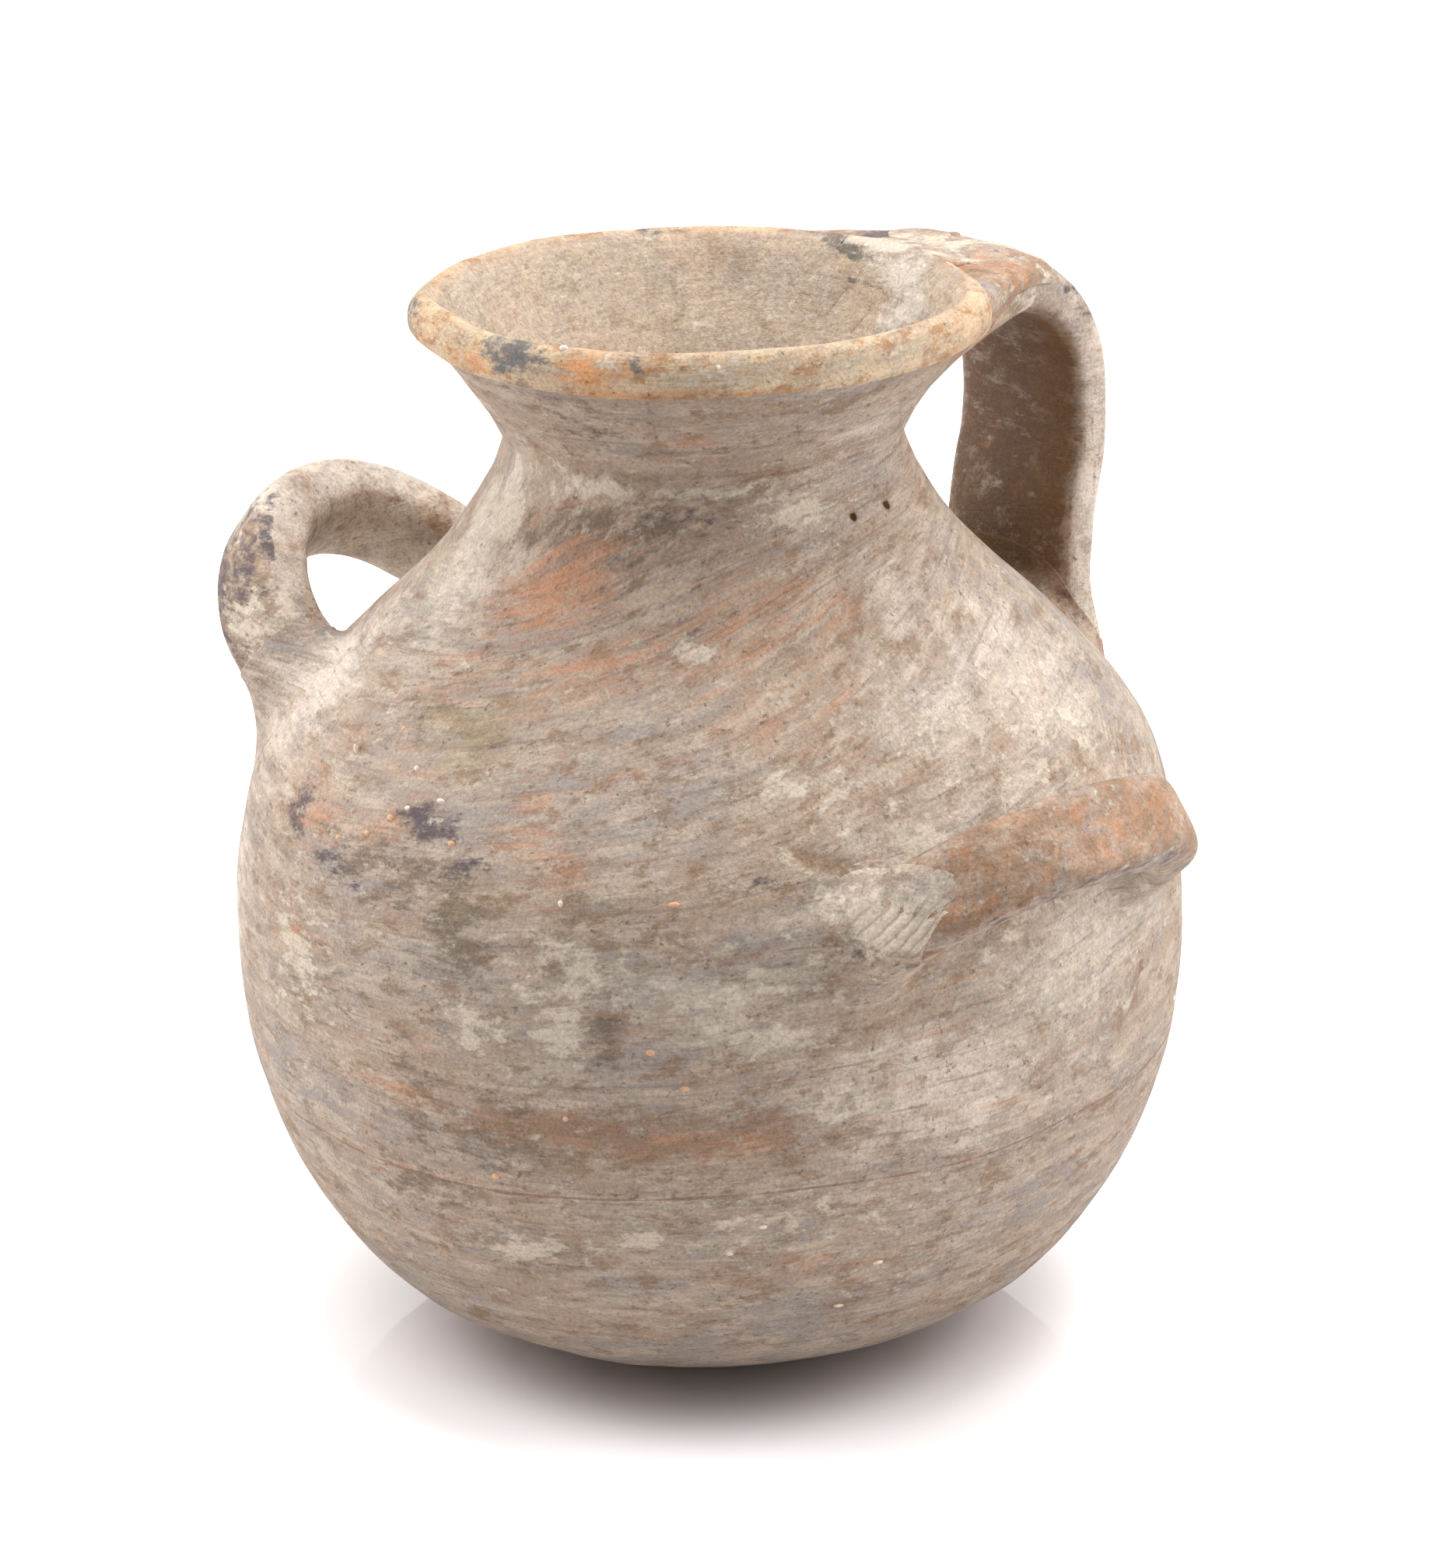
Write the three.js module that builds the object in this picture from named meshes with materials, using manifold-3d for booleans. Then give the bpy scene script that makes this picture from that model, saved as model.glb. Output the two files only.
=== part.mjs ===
// A hand-built earthenware jar: a round body on a small flat base, a flaring mouth with a thick lip,
// one strap handle from lip to shoulder and two lifting loops, each luted on with its own clay.
// Millimetres, +Z up. The origin is the middle of the resting face, and +Y runs to the strap handle.
import * as THREE from 'three';
import { mergeVertices } from 'three/addons/utils/BufferGeometryUtils.js';
import Module from 'manifold-3d';

const wasm = await Module();
wasm.setup();

// Body
const bellyRadius = 80.5;
const neckHeight = 156;
const neckRadius = 33;
const baseRadius = 24;
const wallThickness = 6;
const baseRimHeight = 3;
const seamHeight = 50;
const slipGap = 0.3;
// Outline of the wall above the resting face: shares of bellyRadius and of neckHeight
const wallOutlineShares = [
  [0.454, 0.014],
  [0.727, 0.09],
  [0.882, 0.192],
  [0.977, 0.32],
  [1, 0.449],
  [0.982, 0.564],
  [0.92, 0.667],
  [0.746, 0.774],
  [0.549, 0.876],
  [0.442, 0.958],
];

// Neck, mouth and lip
const neckLedgeWidth = 0.6;
const neckLedgeHeight = 1.6;
const neckCoilLowerHeight = 5;
const neckCoilUpperHeight = 5;
const mouthHeight = 23.6;
const rimHeight = neckHeight + mouthHeight;
const mouthRadius = 47;
const lipWidth = 5;
const lipBandHeight = 5.5;
const lipOverhangWidth = 2.2;
const mouthThickness = 5;
const lipHeadroomHeight = 5;
// Outline of the flare from the ledge to the lip: shares of its spread and of its rise
const flareShares = [
  [0, 0],
  [0.2, 0.25],
  [0.58, 0.6],
  [1, 1],
];
// Outline of the lip from its lower outer edge: shares of lipWidth inwards and of lipBandHeight down
const lipShares = [
  [0, 1],
  [0.14, 0.3],
  [0.5, 0],
  [0.88, 0.12],
];

// Strap handle
const strapStandoffLength = 26.4;
const strapCrestDepth = 2.8;
const strapLandingHeight = 107.5;
const strapWidth = 32;
const strapRimWidth = 40;
const strapFootWidth = 36;
const strapThickness = 9;
const strapSplayPower = 4;
// Route of the strap: shares of its standoff from the lip, and of the way from its landing to its crest
const strapRouteShares = [
  [-0.35, 0.93],
  [0.04, 0.965],
  [0.42, 1],
  [0.76, 0.925],
  [0.965, 0.78],
  [1, 0.555],
  [0.91, 0.355],
  [0.865, 0.15],
  [0.93, 0],
  [0.96, -0.137],
  [0.92, -0.23],
];

// Lifting loops: degrees round the body, and millimetres
const rightLoopTurnAngle = 3;
const rightLoopSpreadAngle = 21.5;
const rightLoopHeight = 93.5;
const rightLoopReachLength = 25.5;
const rightLoopCantAngle = 39;
const rightLoopLeanLength = 3.6;
const rightLoopFullnessPower = 0.83;
const rightLoopWidth = 15;
const rightLoopThickness = 10;
const leftLoopTurnAngle = 201;
const leftLoopSpreadAngle = 24.3;
const leftLoopHeight = 111.5;
const leftLoopReachLength = 28.2;
const leftLoopCantAngle = 37;
const leftLoopLeanLength = 3;
const leftLoopFullnessPower = 1;
const leftLoopWidth = 17;
const leftLoopThickness = 12.5;
const loopRootDepth = 9;
// Shares of each handle's route that lie clear of the jar, where the search for its skin line starts
const strapClearShares = { rim: 0.4, shoulder: 0.6 };
const loopClearShare = 0.5;

// Lutes
const luteSpreadWidth = 8;
const luteReachLength = 9;
const luteFeatherThickness = 0.4;
const luteSinkDepth = 3;
const smearGap = 0.4;
const smearThickness = 1.2;
const smearDepth = 10;
const smearLapShare = 0.5;
const smearHalfAngle = 28;
const smearSteps = 10;

// Facets: lengths along an outline, and counts
const wallFacetLength = 10;
const flareFacetLength = 5;
const lipFacetLength = 1.6;
const turnFacets = 60;
const barFacets = 16;
const barSteps = 20;
const luteSteps = 4;
const bandSquareness = 3;
const halvings = 30;

// Fired clay, in the colours of its pieces
const clays = {
  brown: new THREE.MeshStandardMaterial({ color: '#8f7f73', roughness: 0.8, metalness: 0 }),
  taupe: new THREE.MeshStandardMaterial({ color: '#a39384', roughness: 0.8, metalness: 0 }),
  lip: new THREE.MeshStandardMaterial({ color: '#a98c6b', roughness: 0.8, metalness: 0 }),
  lute: new THREE.MeshStandardMaterial({ color: '#bfb09a', roughness: 0.85, metalness: 0 }),
  handle: new THREE.MeshStandardMaterial({ color: '#9c7f68', roughness: 0.8, metalness: 0 }),
};

// Solids: welding a geometry, and passing it to and from the cutting library

function weld(geometry) {
  const bare = geometry.clone();
  bare.deleteAttribute('normal');
  bare.deleteAttribute('uv');
  const merged = mergeVertices(bare);
  const corners = merged.index.array;
  const kept = [];
  for (let i = 0; i < corners.length; i += 3) {
    const [a, b, c] = corners.slice(i, i + 3);
    if (a !== b && b !== c && c !== a) {
      kept.push(a, b, c);
    }
  }
  merged.setIndex(kept);
  return facingOut(merged);
}

function facingOut(geometry) {
  const position = geometry.attributes.position;
  const corners = Array.from(geometry.index.array);
  const a = new THREE.Vector3();
  const b = new THREE.Vector3();
  const c = new THREE.Vector3();
  let volume = 0;
  for (let i = 0; i < corners.length; i += 3) {
    a.fromBufferAttribute(position, corners[i]);
    b.fromBufferAttribute(position, corners[i + 1]);
    c.fromBufferAttribute(position, corners[i + 2]);
    volume += a.dot(b.cross(c));
  }
  if (volume < 0) {
    corners.reverse();
  }
  geometry.setIndex(corners);
  return geometry;
}

function toSolid(geometry) {
  const mesh = weld(geometry);
  const vertProperties = new Float32Array(mesh.attributes.position.array);
  const triVerts = new Uint32Array(mesh.index.array);
  return new wasm.Manifold(new wasm.Mesh({ numProp: 3, vertProperties, triVerts }));
}

function toGeometry(solid) {
  const mesh = solid.getMesh();
  const geometry = new THREE.BufferGeometry();
  geometry.setAttribute('position', new THREE.BufferAttribute(mesh.vertProperties, 3));
  geometry.setIndex(Array.from(mesh.triVerts));
  return geometry;
}

// Revolved pieces

// A smooth outline in the plane of radius and height, which is drawn with facets of about one length
function smoothCurve(pairs, facetLength) {
  const points = pairs.map(([radius, height]) => new THREE.Vector3(radius, height, 0));
  const curve = new THREE.CatmullRomCurve3(points, false, 'centripetal');
  curve.facetCount = curve.getLength() / facetLength;
  return curve;
}

const wallCurve = smoothCurve([
  [baseRadius, 0],
  ...wallOutlineShares.map(([out, up]) => [out * bellyRadius, up * neckHeight]),
  [neckRadius, neckHeight],
], wallFacetLength);

const flareFootRadius = neckRadius + neckLedgeWidth;
const flareFootHeight = neckHeight + neckLedgeHeight;
const flareSpread = mouthRadius - lipOverhangWidth - flareFootRadius;
const flareRise = rimHeight - lipBandHeight - flareFootHeight;
const flareCurve = smoothCurve(
  flareShares.map(([out, up]) => [flareFootRadius + out * flareSpread, flareFootHeight + up * flareRise]),
  flareFacetLength,
);

// A point of a curve moved off it: to the right of the way up is outwards, so a wall goes the other way
function besideCurve(curve, share, offset) {
  const point = curve.getPointAt(share);
  const along = curve.getTangentAt(share);
  return new THREE.Vector2(point.x + along.y * offset, point.y - along.x * offset);
}

function stretch(curve, from, to, offset) {
  const count = Math.max(1, Math.round(Math.abs(to - from) * curve.facetCount));
  const points = [];
  for (let i = 0; i <= count; i += 1) {
    points.push(besideCurve(curve, THREE.MathUtils.lerp(from, to, i / count), offset));
  }
  return points;
}

// Share of a rising curve at which it passes a height
function shareAtHeight(curve, height) {
  let low = 0;
  let high = 1;
  for (let i = 0; i < halvings; i += 1) {
    const middle = (low + high) / 2;
    if (curve.getPointAt(middle).y < height) {
      low = middle;
    } else {
      high = middle;
    }
  }
  return (low + high) / 2;
}

function revolve(outline) {
  const geometry = new THREE.LatheGeometry(outline, turnFacets);
  geometry.rotateX(Math.PI / 2);
  return weld(geometry);
}

function closed(outline) {
  return [...outline, outline[0]];
}

// Joints between the rings of the body: scarfs at 45 degrees through the wall, a film of slip apart
const wallLength = wallCurve.getLength();
const flareLength = flareCurve.getLength();
const scarfPlay = slipGap * Math.SQRT2;
const scarfShare = wallThickness / wallLength;
const playShare = scarfPlay / wallLength;
const baseShare = shareAtHeight(wallCurve, baseRimHeight);
const seamShare = shareAtHeight(wallCurve, seamHeight);
const neckShare = shareAtHeight(wallCurve, neckHeight - neckCoilLowerHeight);
const flareStartShare = neckCoilUpperHeight / flareLength;
const flareScarfShare = mouthThickness / 2 / flareLength;
const flarePlayShare = scarfPlay / flareLength;

function baseDisc() {
  return revolve([
    new THREE.Vector2(0, 0),
    ...stretch(wallCurve, 0, baseShare, 0),
    ...stretch(wallCurve, baseShare - scarfShare, 0, -wallThickness),
    new THREE.Vector2(0, wallThickness),
  ]);
}

function lowerBowl() {
  return revolve(closed([
    ...stretch(wallCurve, baseShare + playShare, seamShare, 0),
    ...stretch(wallCurve, seamShare + scarfShare, baseShare - scarfShare + playShare, -wallThickness),
  ]));
}

function upperBody() {
  return revolve(closed([
    ...stretch(wallCurve, seamShare + playShare, neckShare, 0),
    ...stretch(wallCurve, neckShare - scarfShare, seamShare + scarfShare + playShare, -wallThickness),
  ]));
}

function neckCoil() {
  return revolve(closed([
    ...stretch(wallCurve, neckShare + playShare, 1, 0),
    ...stretch(flareCurve, 0, flareStartShare, 0),
    ...stretch(flareCurve, flareStartShare - flareScarfShare, 0, -mouthThickness),
    ...stretch(wallCurve, 1, neckShare - scarfShare + playShare, -wallThickness),
  ]));
}

function mouth() {
  return revolve(closed([
    ...stretch(flareCurve, flareStartShare + flarePlayShare, 1, 0),
    ...stretch(flareCurve, 1, flareStartShare - flareScarfShare + flarePlayShare, -mouthThickness),
  ]));
}

const lipCurve = smoothCurve(
  lipShares.map(([inwards, down]) => [mouthRadius - inwards * lipWidth, rimHeight - down * lipBandHeight]),
  lipFacetLength,
);

// The lip sits on the flare's end: its seat is the end face moved up by the slip
function lipOutline(growth) {
  const along = flareCurve.getTangentAt(1);
  const lift = new THREE.Vector2(along.x, along.y).multiplyScalar(slipGap - growth);
  const seatOuter = besideCurve(flareCurve, 1, growth).add(lift);
  const seatInner = besideCurve(flareCurve, 1, -mouthThickness - growth).add(lift);
  return closed([seatOuter, ...stretch(lipCurve, 0, 1, growth), seatInner]);
}

function rimCoil() {
  return revolve(lipOutline(0));
}

// Everything inside the outer skin of the jar and over its lip, grown by a film of slip
function filledJar(growth) {
  const outline = [
    new THREE.Vector2(0, -growth),
    ...stretch(wallCurve, 0, 1, growth),
    ...stretch(flareCurve, 0, 1, growth),
    new THREE.Vector2(mouthRadius + growth, rimHeight - lipBandHeight - growth),
    new THREE.Vector2(mouthRadius + growth, rimHeight + lipHeadroomHeight),
    new THREE.Vector2(0, rimHeight + lipHeadroomHeight),
  ];
  return toSolid(revolve(outline));
}

// Bars: a route, the direction across it, and a width and thickness along it

function bar(pointAt, across, widthAt, thicknessAt) {
  const routeCurve = new THREE.Curve();
  routeCurve.getPoint = pointAt;
  const length = routeCurve.getLength();
  // A point of the bar's skin at a share of its route and a turn round it, grown by a clearance
  function skin(share, turn, growth) {
    const along = routeCurve.getTangent(share);
    const outwards = new THREE.Vector3().crossVectors(along, across);
    const width = widthAt(share) / 2 + growth;
    const thickness = thicknessAt(share) / 2 + growth;
    return pointAt(share)
      .addScaledVector(across, width * squared(Math.cos(turn)))
      .addScaledVector(outwards, thickness * squared(Math.sin(turn)));
  }
  return { pointAt, skin, length };
}

// Rounds a section into a flattened band
function squared(value) {
  return Math.sign(value) * Math.abs(value) ** (2 / bandSquareness);
}

function turns(count) {
  return Array.from({ length: count }, (_, i) => (i / count) * 2 * Math.PI);
}

// Rings of points joined side to side, and closed at both ends by the same triangles of a ring's corners
function loft(rings, capCorners) {
  const count = rings[0].length;
  const corners = [];
  for (let ring = 0; ring < rings.length - 1; ring += 1) {
    for (let side = 0; side < count; side += 1) {
      const here = ring * count + side;
      const next = ring * count + ((side + 1) % count);
      corners.push(here, next, next + count, here, next + count, here + count);
    }
  }
  const lastRing = (rings.length - 1) * count;
  corners.push(...capCorners.toReversed());
  corners.push(...capCorners.map((corner) => lastRing + corner));
  const geometry = new THREE.BufferGeometry().setFromPoints(rings.flat());
  geometry.setIndex(corners);
  return geometry;
}

// A cap for a round section
function roundCap(count) {
  const corners = [];
  for (let side = 1; side < count - 1; side += 1) {
    corners.push(0, side, side + 1);
  }
  return corners;
}

// A cap for a thin bent section, whose outline runs along one side and back along the other
function bentCap(count) {
  const corners = [];
  for (let side = 0; side < count / 2 - 1; side += 1) {
    const other = count - 1 - side;
    corners.push(side, side + 1, other, side + 1, other - 1, other);
  }
  return corners;
}

function middleOf(points) {
  const sum = new THREE.Vector3();
  for (const point of points) {
    sum.add(point);
  }
  return sum.divideScalar(points.length);
}

function barSolid(handle, growth) {
  const rings = [];
  for (let step = 0; step <= barSteps; step += 1) {
    rings.push(turns(barFacets).map((turn) => handle.skin(step / barSteps, turn, growth)));
  }
  return toSolid(loft(rings, roundCap(barFacets)));
}

// The jar's outer radius at a height, up to the top of the lip
function jarRadiusAt(height) {
  if (height < neckHeight) {
    return wallCurve.getPointAt(shareAtHeight(wallCurve, height)).x;
  }
  const lipFoot = rimHeight - lipBandHeight;
  if (height < lipFoot) {
    return flareCurve.getPointAt(shareAtHeight(flareCurve, height)).x;
  }
  return mouthRadius;
}

function isInsideJar(point) {
  return Math.hypot(point.x, point.y) < jarRadiusAt(point.z);
}

// Share of the bar's route at which one line of its skin leaves the jar
function leavingShare(handle, turn, insideShare, outsideShare) {
  let inside = insideShare;
  let outside = outsideShare;
  for (let i = 0; i < halvings; i += 1) {
    const middle = (inside + outside) / 2;
    if (isInsideJar(handle.skin(middle, turn, 0))) {
      inside = middle;
    } else {
      outside = middle;
    }
  }
  return outside;
}

function ontoJar(point, lift) {
  const radius = jarRadiusAt(point.z) + lift;
  const reach = Math.hypot(point.x, point.y);
  return new THREE.Vector3((point.x / reach) * radius, (point.y / reach) * radius, point.z);
}

// A lute: clay worked into the corner between a handle and the jar, as a fillet that runs out on both
function luteSolid(handle, insideShare, outsideShare, spreadAt) {
  const edgeLift = slipGap + luteFeatherThickness;
  const reachShare = (luteReachLength / handle.length) * Math.sign(outsideShare - insideShare);
  const rootMiddle = middleOf(turns(barFacets).map((turn) => (
    handle.skin(leavingShare(handle, turn, insideShare, outsideShare), turn, 0)
  )));
  const columns = turns(barFacets).map((turn) => {
    const share = leavingShare(handle, turn, insideShare, outsideShare);
    const corner = handle.skin(share, turn, edgeLift);
    const away = corner.clone().sub(rootMiddle).normalize();
    const spread = corner.clone().addScaledVector(away, spreadAt(turn));
    const onJar = ontoJar(spread, edgeLift);
    const onHandle = handle.skin(share + reachShare, turn, edgeLift);
    const fillet = new THREE.QuadraticBezierCurve3(onJar, corner, onHandle);
    return [ontoJar(spread, -luteSinkDepth), ...fillet.getPoints(luteSteps)];
  });
  const rings = columns[0].map((_, level) => columns.map((column) => column[level]));
  return toSolid(loft(rings, roundCap(barFacets)));
}

// The two lifting loops

function loopBar(turn, spread, height, reach, cant, lean, fullness, width, thickness) {
  const outwards = new THREE.Vector3(Math.cos(turn), Math.sin(turn), 0);
  const sideways = new THREE.Vector3(-Math.sin(turn), Math.cos(turn), 0);
  const upwards = new THREE.Vector3(0, 0, 1);
  const lifted = outwards.clone().multiplyScalar(Math.cos(cant)).addScaledVector(upwards, Math.sin(cant));
  const across = new THREE.Vector3().crossVectors(sideways, lifted).negate();
  const rootRadius = jarRadiusAt(height);
  const halfSpan = rootRadius * Math.sin(spread);
  const middle = outwards.clone().multiplyScalar(rootRadius * Math.cos(spread));
  middle.addScaledVector(upwards, height);
  const legShare = loopRootDepth / (Math.PI * reach + 2 * loopRootDepth);
  function pointAt(share) {
    const swing = THREE.MathUtils.clamp((share - legShare) / (1 - 2 * legShare), 0, 1);
    const side = -squareOff(Math.cos(swing * Math.PI), fullness);
    const rise = squareOff(Math.sin(swing * Math.PI), fullness);
    const leg = Math.max(0, legShare - share, share - 1 + legShare) / legShare;
    return middle.clone()
      .addScaledVector(sideways, side * halfSpan)
      .addScaledVector(lifted, rise * reach - side * rise * lean - leg * loopRootDepth);
  }
  return bar(pointAt, across, () => width, () => thickness);
}

function squareOff(value, fullness) {
  return Math.sign(value) * Math.abs(value) ** fullness;
}

function rightLoop() {
  return loopBar(
    THREE.MathUtils.degToRad(rightLoopTurnAngle),
    THREE.MathUtils.degToRad(rightLoopSpreadAngle),
    rightLoopHeight,
    rightLoopReachLength,
    THREE.MathUtils.degToRad(rightLoopCantAngle),
    rightLoopLeanLength,
    rightLoopFullnessPower,
    rightLoopWidth,
    rightLoopThickness,
  );
}

function leftLoop() {
  return loopBar(
    THREE.MathUtils.degToRad(leftLoopTurnAngle),
    THREE.MathUtils.degToRad(leftLoopSpreadAngle),
    leftLoopHeight,
    leftLoopReachLength,
    THREE.MathUtils.degToRad(leftLoopCantAngle),
    leftLoopLeanLength,
    leftLoopFullnessPower,
    leftLoopWidth,
    leftLoopThickness,
  );
}

// The strap, in the plane of the Y and Z axes

function strapBar() {
  const drop = rimHeight - strapCrestDepth - strapLandingHeight;
  const points = strapRouteShares.map(([out, up]) => (
    new THREE.Vector3(0, mouthRadius + out * strapStandoffLength, strapLandingHeight + up * drop)
  ));
  const curve = new THREE.CatmullRomCurve3(points, false, 'centripetal');
  function widthAt(share) {
    const rimSplay = (strapRimWidth - strapWidth) * (1 - share) ** strapSplayPower;
    const footSplay = (strapFootWidth - strapWidth) * share ** strapSplayPower;
    return strapWidth + rimSplay + footSplay;
  }
  const across = new THREE.Vector3(1, 0, 0);
  return bar((share) => curve.getPointAt(share), across, widthAt, () => strapThickness);
}

// The thin smear of clay over the lip at the strap: it hugs the lip and thins out on all sides
function smearSolid() {
  const depthShare = 1 - smearDepth / flareLength;
  const rings = [];
  for (let step = 0; step <= smearSteps; step += 1) {
    const swing = (step / smearSteps) * 2 - 1;
    const fade = Math.sqrt(Math.max(0, 1 - swing * swing));
    const under = lipPath(depthShare, smearGap);
    const feather = lipPath(depthShare, smearGap + luteFeatherThickness);
    const crest = lipPath(depthShare, smearGap + luteFeatherThickness + smearThickness);
    const over = feather.map((point, i) => (
      point.lerp(crest[i], fade * Math.sin((i / (feather.length - 1)) * Math.PI))
    ));
    const azimuth = Math.PI / 2 + THREE.MathUtils.degToRad(smearHalfAngle) * swing;
    rings.push([...under, ...over.reverse()].map((point) => (
      new THREE.Vector3(point.x * Math.cos(azimuth), point.x * Math.sin(azimuth), point.y)
    )));
  }
  return toSolid(loft(rings, bentCap(rings[0].length)));
}

// From the outer face of the lip over its crown and down inside the mouth
function lipPath(depthShare, growth) {
  const overLip = stretch(lipCurve, smearLapShare, 1, growth);
  const insideMouth = stretch(flareCurve, 1, depthShare, -mouthThickness - growth);
  return [...overLip, ...insideMouth];
}

// The pieces

const group = new THREE.Group();

function addPiece(name, geometry, material) {
  const piece = new THREE.Mesh(geometry, material);
  piece.name = name;
  group.add(piece);
}

const grownJar = filledJar(slipGap);

function addHandle(name, handle) {
  addPiece(name, toGeometry(barSolid(handle, 0).subtract(grownJar)), clays.handle);
}

function addLute(name, handle, insideShare, outsideShare, spreadAt) {
  const fillet = luteSolid(handle, insideShare, outsideShare, spreadAt);
  const lute = fillet.subtract(grownJar).subtract(barSolid(handle, slipGap));
  addPiece(name, toGeometry(lute), clays.lute);
}

addPiece('base_disc', baseDisc(), clays.brown);
addPiece('lower_bowl', lowerBowl(), clays.brown);
addPiece('upper_body', upperBody(), clays.taupe);
addPiece('neck_coil', neckCoil(), clays.taupe);
addPiece('mouth', mouth(), clays.taupe);
addPiece('rim_coil', rimCoil(), clays.lip);

const strap = strapBar();
addHandle('strap_handle', strap);
// The strap flows out of the lip, so its rim lute spreads at the sides and below and not over the crown
const rimSpreadAt = (turn) => luteSpreadWidth * Math.min(1, 1 + Math.sin(turn));
addLute('strap_rim_lute', strap, 0, strapClearShares.rim, rimSpreadAt);
addLute('strap_shoulder_lute', strap, 1, strapClearShares.shoulder, () => luteSpreadWidth);
addPiece('strap_rim_smear', toGeometry(smearSolid().subtract(barSolid(strap, slipGap))), clays.lute);

const rightHandle = rightLoop();
addHandle('right_loop_handle', rightHandle);
addLute('right_loop_front_lute', rightHandle, 0, loopClearShare, () => luteSpreadWidth);
addLute('right_loop_back_lute', rightHandle, 1, loopClearShare, () => luteSpreadWidth);

const leftHandle = leftLoop();
addHandle('left_loop_handle', leftHandle);
addLute('left_loop_back_lute', leftHandle, 0, loopClearShare, () => luteSpreadWidth);
addLute('left_loop_front_lute', leftHandle, 1, loopClearShare, () => luteSpreadWidth);

export default group;
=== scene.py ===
import math

import bmesh
import bpy
import numpy as np
from mathutils import Matrix, Vector, noise
from mathutils.geometry import interpolate_bezier


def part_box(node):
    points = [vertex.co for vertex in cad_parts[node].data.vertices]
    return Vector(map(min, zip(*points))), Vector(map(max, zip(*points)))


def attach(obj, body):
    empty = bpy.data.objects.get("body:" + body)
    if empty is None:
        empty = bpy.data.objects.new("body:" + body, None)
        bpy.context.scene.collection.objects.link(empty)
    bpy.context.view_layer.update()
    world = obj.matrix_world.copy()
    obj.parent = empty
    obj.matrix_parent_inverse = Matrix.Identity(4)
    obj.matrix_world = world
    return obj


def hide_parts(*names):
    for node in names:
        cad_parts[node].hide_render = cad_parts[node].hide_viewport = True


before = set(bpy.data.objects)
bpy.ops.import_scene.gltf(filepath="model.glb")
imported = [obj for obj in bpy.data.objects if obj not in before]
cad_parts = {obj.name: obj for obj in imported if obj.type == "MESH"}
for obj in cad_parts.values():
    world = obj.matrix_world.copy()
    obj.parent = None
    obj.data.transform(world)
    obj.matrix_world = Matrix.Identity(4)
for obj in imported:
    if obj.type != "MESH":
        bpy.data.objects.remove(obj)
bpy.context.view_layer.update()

MM = 0.001

# Body: sizes from the frame's boxes, and those that the boxes don't show
BELLY_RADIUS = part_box("upper_body")[1].x
LIP_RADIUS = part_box("rim_coil")[1].x
RIM_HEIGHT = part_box("rim_coil")[1].z
LIP_FOOT_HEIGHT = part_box("rim_coil")[0].z
NECK_HEIGHT = 156 * MM
NECK_RADIUS = 33 * MM
BASE_RADIUS = 24 * MM
WALL_THICKNESS = 6 * MM
MOUTH_THICKNESS = 5 * MM
BASE_RIM_HEIGHT = 3 * MM
SEAM_HEIGHT = 50 * MM
NECK_COIL_HEIGHT = 151 * MM
MOUTH_FOOT_HEIGHT = 162.3 * MM
# Outline of the wall: shares of BELLY_RADIUS and of NECK_HEIGHT
WALL_OUTLINE_SHARES = [
    (0.454, 0.014), (0.727, 0.09), (0.882, 0.192), (0.977, 0.32), (1, 0.449),
    (0.982, 0.564), (0.92, 0.667), (0.746, 0.774), (0.549, 0.876), (0.442, 0.958),
]
# Outline of the flare: shares of its spread and of its rise
FLARE_SHARES = [(0, 0), (0.2, 0.25), (0.58, 0.6), (1, 1)]
NECK_LEDGE_WIDTH = 0.6 * MM
NECK_LEDGE_HEIGHT = 1.6 * MM
LIP_OVERHANG = 2.2 * MM
LIP_WIDTH = 5 * MM
# Section of the lip from its lower outer edge: shares of LIP_WIDTH inwards and of its height up
LIP_SHARES = [
    (0.3, -0.02), (0.07, 0), (0, 0.1), (0.04, 0.5), (0.16, 0.84), (0.4, 1), (0.7, 0.98), (0.95, 0.85),
]
# Its outer face, from the lower edge to the crown
LIP_FACE = LIP_SHARES[1:6]

# Detail of the turned pieces before they are subdivided twice
RING_FACETS = 96
SPACING = 4 * MM
LIP_SPACING = 1.6 * MM
SUBDIVISIONS = 2
# Angles in degrees past which an edge stays sharp: on turned pieces, and on handles and lutes
TURNED_EDGE_ANGLE = 50
BAND_EDGE_ANGLE = 60

# Unevenness that hands leave in the clay: (size of the swells, depth)
KNEADING = [(55 * MM, 0.7 * MM), (17 * MM, 0.3 * MM), (6 * MM, 0.1 * MM), (2.6 * MM, 0.045 * MM)]
# Blender's vector noise starts from the clock unless it is seeded
KNEADING_SEED = 7
noise.seed_set(KNEADING_SEED)
# Up to this height the unevenness grows from none, so that the jar rests flat
FIRM_HEIGHT = 4 * MM


# Modelling

def deselect_all():
    for chosen in list(bpy.context.selected_objects):
        chosen.select_set(False)


def smooth_line(points, spacing):
    """Points along a smooth curve through the given ones, about one spacing apart."""
    ends = [2 * points[0] - points[1], *points, 2 * points[-1] - points[-2]]
    line = []
    for before, start, end, after in zip(ends, ends[1:], ends[2:], ends[3:]):
        reach = (end - start).length / 3
        lead = start + (end - before).normalized() * reach
        trail = end - (after - start).normalized() * reach
        steps = max(1, round((end - start).length / spacing))
        line.extend(interpolate_bezier(start, lead, trail, end, steps + 1)[:-1])
    line.append(points[-1])
    return line


def wall_line():
    points = [Vector((BASE_RADIUS, 0))]
    points += [Vector((out * BELLY_RADIUS, up * NECK_HEIGHT)) for out, up in WALL_OUTLINE_SHARES]
    points.append(Vector((NECK_RADIUS, NECK_HEIGHT)))
    return smooth_line(points, SPACING)


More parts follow.
